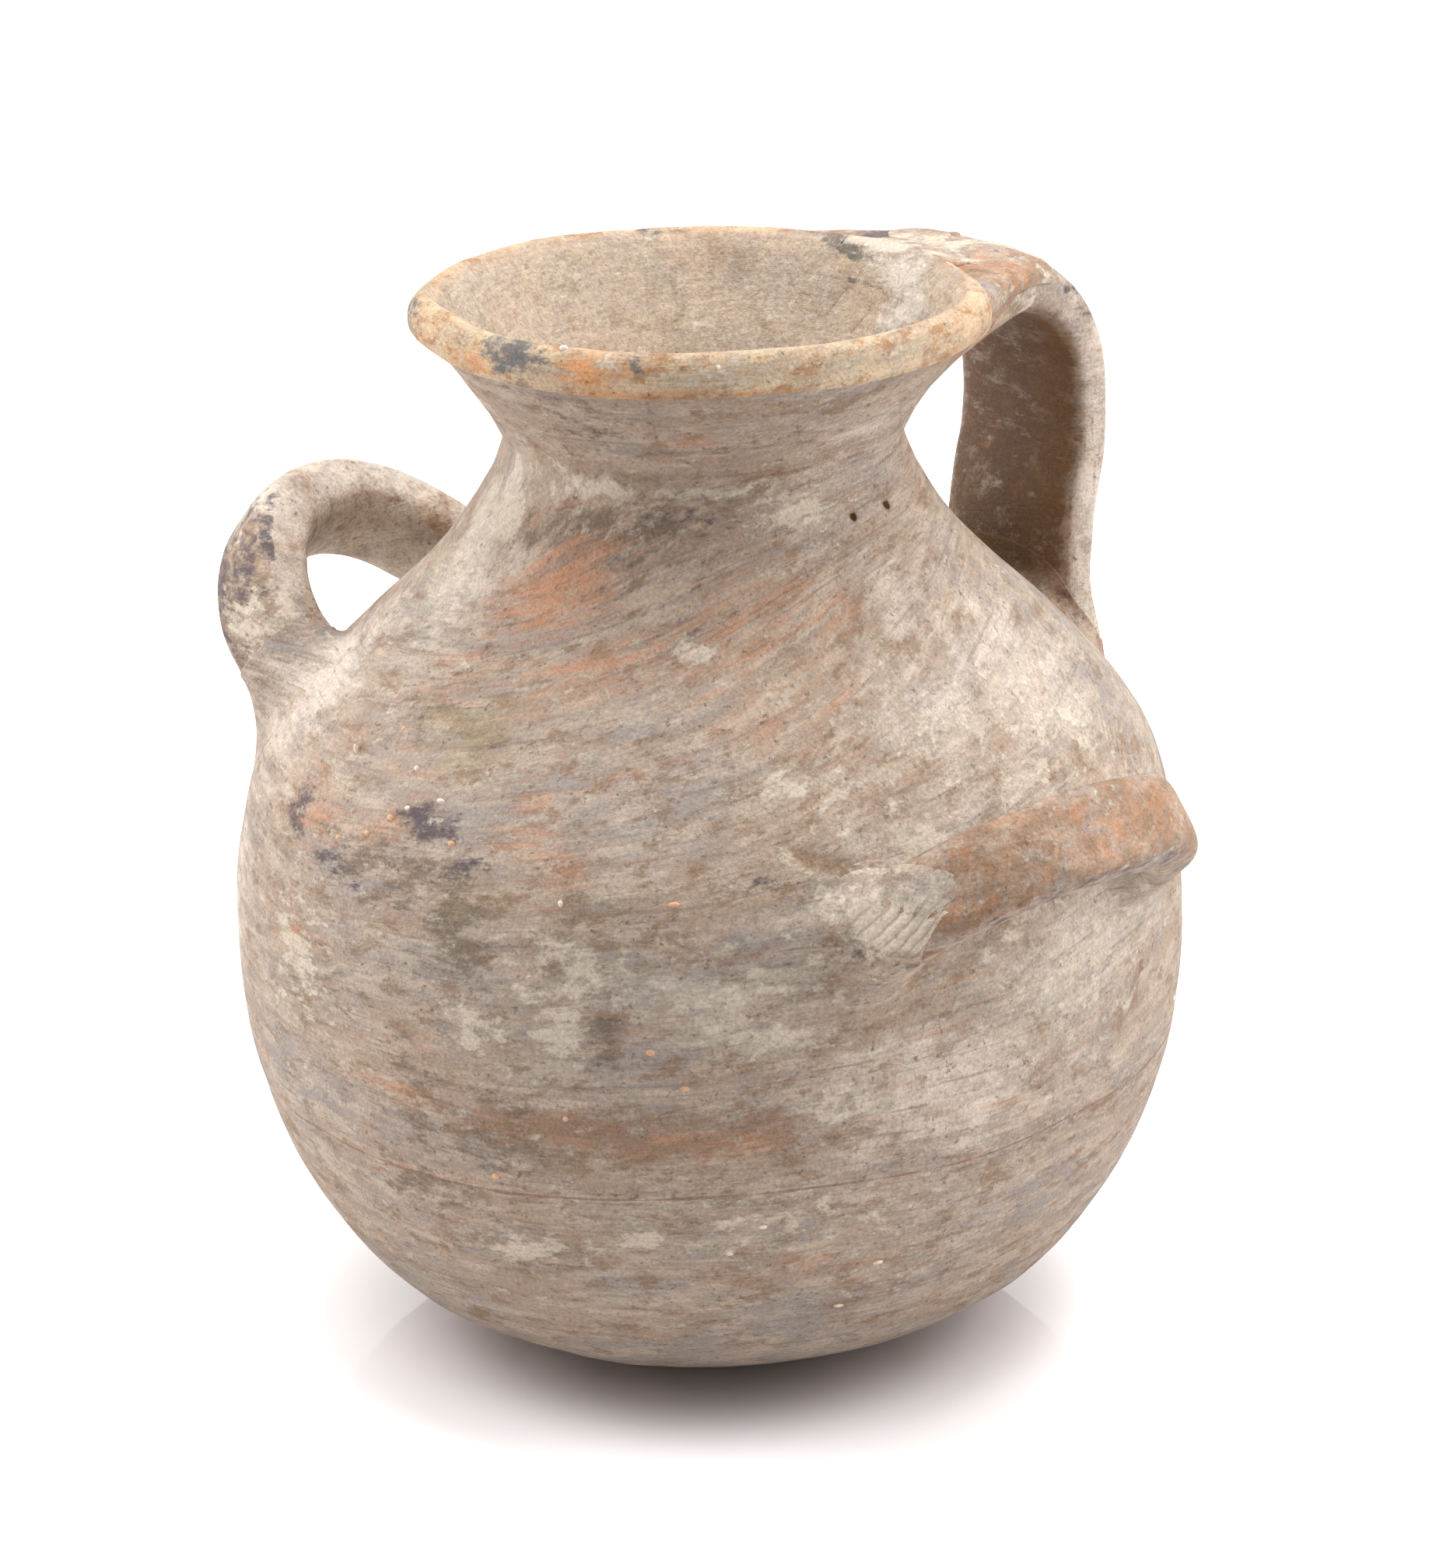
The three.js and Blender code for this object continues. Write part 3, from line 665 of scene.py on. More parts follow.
# Daubs on the jar: (azimuth, height, half width, half rise, slant, strength), in degrees and millimetres
DAUBS = {
    "bloom": [
        (-105, 140, 15, 16, 0, 1.0), (-119, 114, 16, 22, 0, 0.95), (-122, 80, 14, 24, 0, 0.9),
        (-36, 85, 15, 9, 0, 0.85), (14, 84, 24, 16, 0, 1.0), (-10, 66, 26, 16, 0, 1.0),
        (-13, 102, 17, 10, 0, 1.0), (-30, 128, 26, 8, 0, 0.4), (2, 122, 16, 10, 0, 0.8),
        (8, 134, 9, 13, 0, 0.6), (22, 122, 18, 14, 0, 1.0), (4, 110, 18, 8, 0, 0.7),
        (14, 88, 22, 20, 0, 0.85), (4, 64, 22, 12, 0, 0.6), (-106, 70, 6, 26, 0, 0.5),
        (5, 163, 18, 6, 0, 0.6), (-10, 150, 10, 4, 0, 0.5), (128, 124, 22, 20, 0, 0.7),
        (-165, 100, 30, 26, 0, 0.6),
    ],
    # Dark patches; the daub at azimuth 90 is painted shade where the strap's foot meets the shoulder
    "dusk_and_shade": [
        (-62, 149, 20, 7, 0, 1.0), (-69, 92, 8, 17, 0, 0.9), (-80, 100, 22, 7, 0, 0.8),
        (-86, 122, 8, 8, 40, 0.7), (-50, 78, 5, 12, 0, 0.8), (-74, 48, 14, 8, 0, 0.8),
        (-68, 56, 26, 10, 0, 0.5), (-45, 163, 12, 4, 0, 0.5), (90, 126, 20, 18, 0, 1.0),
        (-62, 60, 10, 12, 0, 0.75), (-74, 64, 8, 14, 0, 0.75), (-40, 50, 8, 5, 0, 0.6),
        (130, 66, 40, 26, 0, 0.7),
    ],
    # Darker brown patches: a broad band of them low on the belly, so that it is darker towards the bottom,
    # and thin bands on the lip
    "brown_patches": [
        (-46, 62, 50, 7, 0, 0.95), (-54, 95, 12, 12, 0, 0.6), (-60, 40, 34, 8, 0, 0.6),
        (-15, 70, 18, 6, 8, 0.5), (-20, 34, 40, 10, 0, 0.5), (-20, 98, 9, 3, 0, 0.6),
        (-95, 84, 16, 12, 0, 0.6), (-150, 50, 40, 20, 0, 0.6), (70, 176, 16, 6, 0, 0.8),
        (-50, 174.4, 60, 0.7, 0, 0.6), (-120, 176, 10, 3, 0, 0.8),
    ],
    "olive": [
        (-77, 121, 19, 10, 0, 0.85), (-69, 98, 9, 10, 0, 0.7), (-66, 76, 18, 6, 0, 0.6),
        (-88, 163, 8, 5, 0, 0.6), (-50, 156, 18, 3, 0, 0.6), (170, 90, 26, 16, 0, 0.7),
    ],
    "rust": [
        (-75, 140, 14, 9, 28, 1.0), (-84, 128, 10, 6, 36, 0.6), (-60, 130, 22, 5, 14, 0.65),
        (-30, 136, 22, 9, 12, 0.6), (-25, 125, 18, 6, 10, 0.45), (-62, 111, 6, 9, 10, 0.65),
        (-56, 104, 7, 4, 10, 0.6), (-83, 106, 7, 3, 20, 0.6), (-97, 104, 9, 6, -15, 0.75),
        (-96, 84, 9, 10, 0, 0.5), (-75, 64, 26, 3, 0, 0.5), (-40, 62, 44, 4, 0, 0.5),
        (-2, 60, 18, 5, 10, 0.4), (-14, 101, 9, 5, 0, 0.45), (-30, 38, 30, 6, 4, 0.35),
        (150, 120, 26, 8, 10, 0.6), (60, 70, 30, 6, 6, 0.4), (-160, 60, 34, 5, -4, 0.4),
        (100, 96, 18, 6, 10, 0.5), (-60, 177.5, 8, 4, 0, 1.0), (-88, 176, 8, 2, 0, 0.9),
        (-40, 174.5, 30, 1, 0, 0.6), (-42, 165, 13, 4, 0, 0.5), (72, 178, 8, 4, 0, 0.6),
    ],
    "soot": [
        (-76, 108, 9, 3.5, -6, 1.0), (-70, 103, 6, 5, 0, 0.8), (-101, 103, 5, 7, 30, 0.85),
        (-90, 98, 10, 4, -10, 0.8), (-84, 128, 9, 4, 35, 0.55), (-45, 152, 22, 2.5, 0, 0.6),
        (-38, 137, 16, 4, 12, 0.45), (-20, 93, 10, 1.6, -8, 0.85), (-30, 104, 6, 2, 8, 0.7),
        (-88, 78, 12, 10, 0, 0.5), (-38, 54, 34, 6, 0, 0.35), (140, 60, 26, 10, 0, 0.7),
        (80, 112, 14, 10, 0, 0.5), (-78, 178, 9, 3.6, 0, 1.0), (-51, 178.5, 1.4, 3, 30, 0.9),
        (-68, 167, 8, 6, 0, 0.62), (-121, 177.5, 7, 3, 0, 0.75), (150, 179.3, 7, 0.7, 0, 0.8),
        (102, 178.3, 14, 1.3, 9, 1.0), (96, 174, 8, 0.5, 0, 0.9),
    ],
    "lime": [
        (18, 116, 28, 15, 0, 0.4), (10, 82, 30, 22, 0, 0.4), (-18, 99.5, 13, 5, 0, 0.75),
        (-10, 104, 9, 7, 0, 0.8), (-56, 80, 5, 6, 0, 0.8), (-67, 77, 4, 3, -30, 0.85),
        (-62, 39, 6, 3, 0, 0.8), (-46, 43, 6, 2, 0, 0.7), (-31, 79, 10, 3, 0, 0.7),
        (-22, 67, 10, 3, 0, 0.6), (-30, 177.5, 40, 2.5, 0, 0.3), (-8, 104, 30, 30, 0, 0.25),
        (-54, 90, 9, 7, 0, 0.6), (-61, 40, 10, 4, 5, 0.6), (-66, 80, 9, 3, -20, 0.6),
        (-56, 86, 18, 3, 0, 0.45), (-30, 88, 18, 8, 0, 0.4), (-96, 80, 12, 20, 0, 0.5),
        (-108, 142, 9, 14, 0, 0.6), (-100, 151, 6, 8, 0, 0.8), (-68, 155, 12, 2, 0, 0.7),
        (-28, 155.5, 26, 1.4, 0, 0.6), (-10, 151, 10, 4, 0, 0.7), (-39, 133, 5, 2, 0, 0.7),
        (-22, 116, 14, 4, 0, 0.5), (-30, 45, 30, 8, 0, 0.4), (-56, 178, 3, 2, 0, 0.6),
        (94, 181, 14, 2.4, 0, 1.0), (84, 176, 8, 5, 0, 0.75), (74, 172, 6, 5, 0, 0.7),
        (128, 126, 22, 14, 0, 0.6), (-170, 110, 26, 20, 0, 0.55), (60, 46, 30, 10, 0, 0.6),
    ],
    # Painted shade: where the strap's foot meets the shoulder, under the lower loop, and in the two pits
    "shade": [
        (90, 128, 18, 14, 0, 0.7), (-8, 88, 8, 4, 0, 0.3), (3, 104, 14, 3, 0, 0.5),
        (5, 149, 1, 1, 0, 1.0), (18, 149, 1, 1, 0, 1.0),
    ],
    "striae": [
        (-16, 99, 14, 6, 0, 1.0), (-22, 92, 12, 4, -10, 0.7), (34, 109, 9, 8, 0, 0.8),
    ],
}


def set_layer(piece, name, strength):
    if name not in piece.data.attributes:
        piece.data.attributes.new(name, "FLOAT", "POINT")
    piece.data.attributes[name].data.foreach_set("value", np.clip(strength, 0, 1).astype(np.float32))


def paint_jar(piece, ledge_share=1.0):
    """Lays the daubs of the jar on a piece, with a share of the ledge's pale edge, partly wear and partly a
    painted highlight, and of its painted shade.
    """
    places = co_array(piece)
    over, ledge = ledge_places(places)
    ledge *= LEDGE_PAINT * ledge_share
    ledge_marks = {
        # The pale edge is partly wear and partly a painted highlight; the shade above it is painted shade
        "lime": ledge * np.exp(-((over + LEDGE_EDGE_DROP) / LEDGE_EDGE_WIDTH) ** 4),
        "shade": ledge * np.exp(-np.abs(over - LEDGE_SHADE_RISE) / LEDGE_REACH) * (over > 0),
    }
    for name in LAYERS:
        strength = np.full(len(places), EVERYWHERE.get(name, 0.0))
        for azimuth, height, half_width, half_rise, slant, most in DAUBS.get(name, []):
            along, over = shares_from(places, azimuth, height, half_width, half_rise, slant)
            strength = np.maximum(strength, most * np.exp(-along ** 2 - over ** 2))
        set_layer(piece, name, np.maximum(strength, ledge_marks.get(name, 0.0)))
    reach = np.hypot(places[:, 0], places[:, 1])
    outer = np.interp(places[:, 2], OUTLINE[:, 1], OUTLINE[:, 0])
    set_layer(piece, "inside", (outer - reach) / INSIDE_FADE - 0.5)


def paint_handle(piece, daubs):
    """Lays daubs on a handle: (layer, share of its length, turn, half share, half turn, strength)."""
    rings = BAR_STEPS + 1
    shares = np.repeat(np.arange(rings) / BAR_STEPS, BAR_FACETS)
    around = np.tile(np.degrees(turns(BAR_FACETS)), rings)
    layers = {name: np.full(len(shares), EVERYWHERE.get(name, 0.0)) for name in LAYERS}
    for name, share, turn, half_share, half_turn, most in daubs:
        along = (shares - share) / half_share
        over = ((around - turn + 180) % 360 - 180) / half_turn
        layers[name] = np.maximum(layers[name], most * np.exp(-along ** 4 - over ** 6))
    for name, strength in layers.items():
        set_layer(piece, name, strength)


# Materials

def linear(colour):
    """An sRGB hex colour as linear RGBA."""
    channels = [int(colour[i:i + 2], 16) / 255 for i in (1, 3, 5)]
    return (*[c / 12.92 if c <= 0.04045 else ((c + 0.055) / 1.055) ** 2.4 for c in channels], 1)


def add(tree, kind, links=None, **settings):
    """Adds a node with its settings, and sets or links its inputs."""
    made = tree.nodes.new(kind)
    for name, value in settings.items():
        setattr(made, name, value)
    for socket, value in (links or {}).items():
        if isinstance(value, bpy.types.NodeSocket):
            tree.links.new(value, made.inputs[socket])
        else:
            made.inputs[socket].default_value = value
    return made


def new_material(name):
    material = bpy.data.materials.new(name)
    material.use_nodes = True
    material.node_tree.nodes.clear()
    return material, material.node_tree


# Strokes of the burnishing pebble: they rise and fall once round the jar, more from the belly up to the
# shoulder, run nearly level from there to the neck, and waver
STROKE_FRONT_AZIMUTH = -38
STROKE_TILT = 20 * MM
STROKE_LOW_TILT = 0.15 * STROKE_TILT
STROKE_TILT_HEIGHTS = (60 * MM, 135 * MM)
STROKE_LEVEL_HEIGHTS = (140 * MM, 160 * MM)
STROKE_LEVEL_SHARE = 0.1
STROKE_WAVER = 4 * MM
STROKE_WAVER_LENGTH = 40 * MM


def stroke_coords(tree, coords):
    """Coordinates whose height runs along the burnishing strokes, so that stretched noise follows them."""
    parts = add(tree, "ShaderNodeSeparateXYZ", {"Vector": coords}).outputs
    turn = add(tree, "ShaderNodeMath", {0: parts["Y"], 1: parts["X"]}, operation="ARCTAN2").outputs[0]
    front = math.radians(STROKE_FRONT_AZIMUTH)
    turned = add(tree, "ShaderNodeMath", {0: turn, 1: front}, operation="SUBTRACT").outputs[0]
    wave = add(tree, "ShaderNodeMath", {0: turned}, operation="SINE").outputs[0]
    tilt = add(tree, "ShaderNodeMapRange", {
        "Value": parts["Z"], "From Min": STROKE_TILT_HEIGHTS[0], "From Max": STROKE_TILT_HEIGHTS[1],
        "To Min": STROKE_LOW_TILT, "To Max": STROKE_TILT,
    }).outputs["Result"]
    level = add(tree, "ShaderNodeMapRange", {
        "Value": parts["Z"], "From Min": STROKE_LEVEL_HEIGHTS[0], "From Max": STROKE_LEVEL_HEIGHTS[1],
        "To Min": 1.0, "To Max": STROKE_LEVEL_SHARE,
    }).outputs["Result"]
    tilt = add(tree, "ShaderNodeMath", {0: tilt, 1: level}, operation="MULTIPLY").outputs[0]
    waver = add(tree, "ShaderNodeTexNoise", {
        "Vector": coords, "Scale": 1 / STROKE_WAVER_LENGTH, "Detail": 1.0,
    }).outputs["Fac"]
    lift = add(tree, "ShaderNodeMath", {0: waver, 1: STROKE_WAVER}, operation="MULTIPLY").outputs[0]
    lift = add(tree, "ShaderNodeMath", {0: wave, 1: tilt, 2: lift}, operation="MULTIPLY_ADD").outputs[0]
    height = add(tree, "ShaderNodeMath", {0: parts["Z"], 1: lift}, operation="SUBTRACT").outputs[0]
    along = add(tree, "ShaderNodeCombineXYZ", {"X": parts["X"], "Y": parts["Y"], "Z": height})
    return along.outputs["Vector"]


def unevenness(tree, coords, size, seed, detail=8.0, roughness=0.7):
    """Noise stretched to a size along and up the jar. A seed moves it, so that two of them differ."""
    along, up = (length * MM for length in size)
    placed = add(tree, "ShaderNodeVectorMath", {
        0: coords, 1: (1 / along, 1 / along, 1 / up), 2: (seed, seed, seed),
    }, operation="MULTIPLY_ADD").outputs["Vector"]
    return add(tree, "ShaderNodeTexNoise", {
        "Vector": placed, "Scale": 1.0, "Detail": detail, "Roughness": roughness,
    }).outputs["Fac"]


def lay(tree, base, colour, shape, limits, most=1.0, paint=None, pull=0.0):
    """Lays a colour over a base where a shape passes its limits, and more where a paint layer is strong.

    Returns the new colour, and how much of it shows."""
    if paint:
        painted = add(tree, "ShaderNodeAttribute", attribute_name=paint).outputs["Fac"]
        pulled = add(tree, "ShaderNodeMath", {0: painted, 1: pull, 2: shape}, operation="MULTIPLY_ADD")
        shape = pulled.outputs[0]
    shown = add(tree, "ShaderNodeMapRange", {
        "Value": shape, "From Min": limits[0], "From Max": limits[1], "To Max": most,
    }, interpolation_type="SMOOTHSTEP").outputs["Result"]
    laid = add(tree, "ShaderNodeMix", {0: shown, 6: base, 7: linear(colour)}, data_type="RGBA").outputs[2]
    return laid, shown


# Tones of each clay, by the names of its layers
BODY_TONES = {
    "ground": "#a5907f", "grey": "#988f89", "pale": "#b9a897", "stain": "#886f5a", "bloom": "#cfc2b4",
    "dusk_and_shade": "#74665a", "brown_patches": "#8a6f59", "olive": "#94876a", "rust": "#c08b6a", "streak": "#7a6a5f",
    "soot": "#51474c", "speck": "#62534a", "lime": "#cbbeac",
}
INSIDE_TONES = {
    "ground": "#b59f8a", "grey": "#ab9b8c", "pale": "#c6b49f", "speck": "#8b7561", "stain": "#97795f",
    "soot": "#6d675d", "lime": "#d2c7b9",
}
LIP_TONES = {
    **BODY_TONES, "ground": "#c2a284", "grey": "#b3a08a", "pale": "#cbb596", "stain": "#9c7049",
    "rust": "#cf9465", "soot": "#5b5d60",
}
# Browner clay for the handles. Its darkest brown is laid mostly as painted shade, on the strap's inner face
# and round the strap's foot
HANDLE_TONES = {
    **BODY_TONES, "ground": "#9f8570", "pale": "#b5a08d", "stain": "#86644a", "rust": "#b8805a",
    "dusk_and_shade": "#6f533e",
}
# Layers of a clay over its ground: tone, size along and up the strokes in millimetres, detail of the
# noise, limits between which it comes to show, the most of it, its paint and how far that pulls it up
CLAY_LAYERS = [
    ("grey", (34, 14), 5, (0.42, 0.6), 0.9, None, 0),
    ("pale", (12, 3), 8, (0.43, 0.62), 0.9, None, 0),
    ("stain", (7, 3.4), 9, (0.5, 0.62), 0.8, None, 0),
    ("bloom", (10, 4), 9, (0.6, 0.88), 0.9, "bloom", 0.33),
    ("dusk_and_shade", (7, 3.4), 10, (0.66, 0.82), 0.9, "dusk_and_shade", 0.33),
    ("brown_patches", (7, 3.4), 10, (0.64, 0.8), 0.75, "brown_patches", 0.33),
    ("olive", (8, 1.5), 8, (0.64, 0.95), 0.85, "olive", 0.34),
    ("rust", (14, 1.2), 8, (0.56, 0.9), 0.9, "rust", 0.31),
    ("streak", (24, 1.1), 4, (0.54, 0.68), 0.5, None, 0),
    ("soot", (4, 2), 9, (0.68, 0.88), 0.9, "soot", 0.4),
    ("speck", (1.6, 1.2), 4, (0.58, 0.68), 0.7, None, 0),
    ("lime", (4.5, 2.6), 10, (0.56, 0.7), 0.78, "lime", 0.32),
]
# The handles were stroked lengthwise, so their layers aren't drawn out along the jar
HANDLE_SIZES = {
    "grey": (14, 12), "pale": (5, 4), "stain": (6, 5), "bloom": (9, 7), "dusk_and_shade": (7, 6), "rust": (5, 3.5),
    "streak": (2, 9),
}
INSIDE_LAYERS = [
    ("grey", (20, 20), 4, (0.42, 0.6), 1, None, 0),
    ("pale", (1.5, 1.1), 4, (0.45, 0.6), 0.6, None, 0),
    ("stain", (9, 9), 10, (0.53, 0.66), 0.5, None, 0),
    ("speck", (1.2, 0.9), 4, (0.56, 0.66), 0.5, None, 0),
    ("soot", (2.5, 2), 8, (0.7, 0.84), 0.9, "soot", 0.42),
    ("lime", (8, 5), 10, (0.58, 0.72), 0.8, "lime", 0.36),
]
# Share of finer noise in the layers' edges, from smooth to crumbly
LAYER_ROUGHNESS = 0.74

# Comb lines of a fingertip: the way across them, their spacing, and how far they bend in turns of a wave
COMB_DIRECTION = (-0.23, -0.856, 0.469)
COMB_PITCH = 1.15 * MM
COMB_BEND = 5.0
COMB_COLOUR = "#8f7358"
# Hairline of the seam: the gap's colour, and its half width where it is closed and where it is open
SEAM_COLOUR = "#7d5a49"
SEAM_HALF_WIDTHS = (0.05 * MM, 0.35 * MM)
# Colour of the painted shade, laid where the shade layer is painted
PAINTED_SHADE_COLOUR = "#7d5f42"
# Depth of the relief, and how much each part of it adds
RELIEF_DEPTH = 0.25 * MM
RELIEF_STRENGTH = 0.8
STROKE_RELIEF = 0.5
LIME_RELIEF = 0.6
COMB_RELIEF = -0.45
# Fired clay is dull and reflects little. Lime is rougher still
CLAY_IOR = 1.45
CLAY_SPECULAR = 0.12
LIME_ROUGHENING = 0.2


def weathered(tree, strokes, tones, layers, sizes):
    """Colour of a clay under all its layers, and how much of the last one shows."""
    colour = linear(tones["ground"])
    shown = 0.0
    for seed, (tone, size, detail, limits, most, paint, pull) in enumerate(layers):
        shape = unevenness(tree, strokes, sizes.get(tone, size), seed, detail, LAYER_ROUGHNESS)
        colour, shown = lay(tree, colour, tones[tone], shape, limits, most, paint, pull)
    return colour, shown


def comb_marks(tree, coords):
    """Fine ridges that a fingertip drew in the wet clay, where the striae are painted."""
    across = add(tree, "ShaderNodeVectorMath", {
        0: coords, 1: COMB_DIRECTION,
    }, operation="DOT_PRODUCT").outputs["Value"]
    bent = unevenness(tree, coords, (9, 9), seed=20, detail=2.0)
    turn = add(tree, "ShaderNodeMath", {
        0: across, 1: 2 * math.pi / COMB_PITCH,
    }, operation="MULTIPLY").outputs[0]
    turn = add(tree, "ShaderNodeMath", {0: bent, 1: COMB_BEND, 2: turn}, operation="MULTIPLY_ADD").outputs[0]
    wave = add(tree, "ShaderNodeMath", {0: turn}, operation="SINE").outputs[0]
    painted = add(tree, "ShaderNodeAttribute", attribute_name="striae").outputs["Fac"]
    return add(tree, "ShaderNodeMath", {0: wave, 1: painted}, operation="MULTIPLY").outputs[0]


def seam_line(tree, strokes):
    """1 along the broken hairline where the two halves of the body were joined, and 0 off it."""
    height = add(tree, "ShaderNodeSeparateXYZ", {"Vector": strokes}).outputs["Z"]
    off = add(tree, "ShaderNodeMath", {0: height, 1: SEAM_HEIGHT}, operation="SUBTRACT").outputs[0]
    off = add(tree, "ShaderNodeMath", {0: off}, operation="ABSOLUTE").outputs[0]
    gap = unevenness(tree, strokes, (9, 9), seed=21, detail=3.0)
    width = add(tree, "ShaderNodeMapRange", {
        "Value": gap, "From Min": 0.4, "From Max": 0.6,
        "To Min": SEAM_HALF_WIDTHS[0], "To Max": SEAM_HALF_WIDTHS[1],
    }).outputs["Result"]
    return add(tree, "ShaderNodeMath", {0: off, 1: width}, operation="LESS_THAN").outputs[0]


def finish_clay(tree, coords, strokes, colour, lime, roughness):
    """Gives a clay its marks, its painted shade, grain and relief, and ends the material."""
    marks = comb_marks(tree, coords)
    colour, _ = lay(tree, colour, COMB_COLOUR, marks, (0.3, 0.9), most=0.55)
    colour, _ = lay(tree, colour, SEAM_COLOUR, seam_line(tree, strokes), (0.0, 1.0), most=0.6)
    # Painted shade: a darker brown where the shade layer is painted, broken up by a cloud of noise
    cloud = unevenness(tree, coords, (4, 4), seed=22)
    colour, _ = lay(tree, colour, PAINTED_SHADE_COLOUR, cloud, (0.5, 1.1), most=0.85, paint="shade", pull=0.7)
    fine = unevenness(tree, strokes, (14, 0.6), seed=23, detail=3.0)
    grain = unevenness(tree, coords, (0.6, 0.6), seed=24, detail=3.0)
    light = add(tree, "ShaderNodeMapRange", {
        "Value": fine, "From Min": 0.3, "From Max": 0.7, "To Min": 0.9, "To Max": 1.08,
    }).outputs["Result"]
    grit = add(tree, "ShaderNodeMapRange", {
        "Value": grain, "From Min": 0.3, "From Max": 0.7, "To Min": 0.78, "To Max": 1.2,
    }).outputs["Result"]
    light = add(tree, "ShaderNodeMath", {0: light, 1: grit}, operation="MULTIPLY").outputs[0]
    lit = add(tree, "ShaderNodeVectorMath", {0: colour, "Scale": light}, operation="SCALE").outputs["Vector"]
    relief = grain
    for part, weight in ((fine, STROKE_RELIEF), (lime, LIME_RELIEF), (marks, COMB_RELIEF)):
        raised = add(tree, "ShaderNodeMath", {0: part, 1: weight, 2: relief}, operation="MULTIPLY_ADD")
        relief = raised.outputs[0]
    bump = add(tree, "ShaderNodeBump", {
        "Height": relief, "Strength": RELIEF_STRENGTH, "Distance": RELIEF_DEPTH,
    })
    rough = add(tree, "ShaderNodeMath", {
        0: lime, 1: LIME_ROUGHENING, 2: roughness,
    }, operation="MULTIPLY_ADD").outputs[0]
    shader = add(tree, "ShaderNodeBsdfPrincipled", {
        "Base Color": lit, "Roughness": rough, "IOR": CLAY_IOR, "Normal": bump.outputs["Normal"],
        "Specular IOR Level": CLAY_SPECULAR,
    })
    add(tree, "ShaderNodeOutputMaterial", {"Surface": shader.outputs["BSDF"]})


def weathered_earthenware(name, tones, roughness, sizes):
    """Earthenware with burnishing strokes outside, and open sandy grain where its inside is painted.

    All clays share their patterns, so that these run on from piece to piece."""
    material, tree = new_material(name)
    coords = add(tree, "ShaderNodeTexCoord").outputs["Object"]
    strokes = stroke_coords(tree, coords)
    outside, lime = weathered(tree, strokes, tones, CLAY_LAYERS, sizes)
    sand, _ = weathered(tree, coords, INSIDE_TONES, INSIDE_LAYERS, {})
    inside = add(tree, "ShaderNodeAttribute", attribute_name="inside").outputs["Fac"]
    colour = add(tree, "ShaderNodeMix", {0: inside, 6: outside, 7: sand}, data_type="RGBA").outputs[2]
    finish_clay(tree, coords, strokes, colour, lime, roughness)
    return material


GRIT_STAIN = "#a08b76"
GRIT_ROUGHNESS = 0.5


def calcite_grit(name, colour):
    """Crushed stone in the clay, worn flush and a little waxy."""
    material, tree = new_material(name)
    coords = add(tree, "ShaderNodeTexCoord").outputs["Object"]
    cloud = unevenness(tree, coords, (1.2, 1.2), seed=30, detail=3.0)
    mixed, _ = lay(tree, linear(colour), GRIT_STAIN, cloud, (0.45, 0.75), most=0.7)
    shader = add(tree, "ShaderNodeBsdfPrincipled", {"Base Color": mixed, "Roughness": GRIT_ROUGHNESS})
    add(tree, "ShaderNodeOutputMaterial", {"Surface": shader.outputs["BSDF"]})
    return material


# Grains of crushed stone at the surface: (azimuth, height, length, width), in degrees and millimetres
WHITE_GRAINS = [
    (-96, 113, 1, 3), (-83, 114, 1.2, 1.5), (-76, 111, 1.8, 1.4), (-81, 109, 1.2, 1), (-56, 100, 0.9, 1.6),
    (-17, 36, 2.2, 1.2), (-21, 27, 2, 1), (-36, 41, 1.4, 1.1), (-32, 46, 1.6, 1), (40, 60, 1.8, 1.2),
    (120, 90, 2, 1.2), (170, 60, 1.4, 1.2), (-67, 179.5, 1.3, 1), (-35, 178, 0.9, 0.7),
]
ORANGE_GRAINS = [
    (-83, 107, 1.8, 1.6), (-45, 77, 1.8, 1.5), (-41, 71, 2, 1.2), (-64, 53, 1.8, 1.3), (-55, 65, 1.2, 1.1),
    (-90, 118, 1.2, 1), (-42, 101, 2, 1.1), (-86, 104, 1.4, 1.2), (-72, 106, 1.5, 1.3), (-91, 102, 1.3, 1),
    (80, 70, 1.8, 1.3), (150, 100, 1.6, 1.2), (-150, 70, 1.8, 1.3),
]
GRAIN_RADIUS = 0.5 * MM
GRAIN_DEPTH = 0.9
GRAIN_SINK = 0.36 * MM
GRAIN_TILT = 20
# Pits where such grains fell out: (azimuth, height, radius)
PITS = [(5, 149, 0.7), (18, 149, 0.75)]
PIT_SHAPE = (1.4, 1, 1.3)


def jar_place(azimuth, height, lift):
    """A place on the jar's outer face, or lifted off it."""
    turn = math.radians(azimuth)
    radius = face_radius_at(height * MM) + lift
    return Vector((radius * math.cos(turn), radius * math.sin(turn), height * MM))


def join_stones(stones, subdivisions):
    """Flattened round stones in one piece: (place, radius, turn in radians, shape) for each."""
    deselect_all()
    made = []
    for place, radius, turn, shape in stones:
        bpy.ops.mesh.primitive_ico_sphere_add(
            subdivisions=subdivisions, radius=radius, location=place, rotation=turn, scale=shape,
        )
        made.append(bpy.context.active_object)
    for stone in made:
        stone.select_set(True)
    bpy.ops.object.join()
    return bpy.context.active_object


def punch_pits(piece, pits):
    """Cuts small rough hollows into a piece."""
    stones = [
        (jar_place(azimuth, height, 0), radius * MM, (0, 0, 0), PIT_SHAPE) for azimuth, height, radius in pits
    ]
    cutter = join_stones(stones, 2)
    cut = piece.modifiers.new("pits", "BOOLEAN")
    cut.operation = "DIFFERENCE"
    cut.object = cutter
    deselect_all()
    bpy.context.view_layer.objects.active = piece
    bpy.ops.object.modifier_apply(modifier=cut.name)
    bpy.data.objects.remove(cutter)


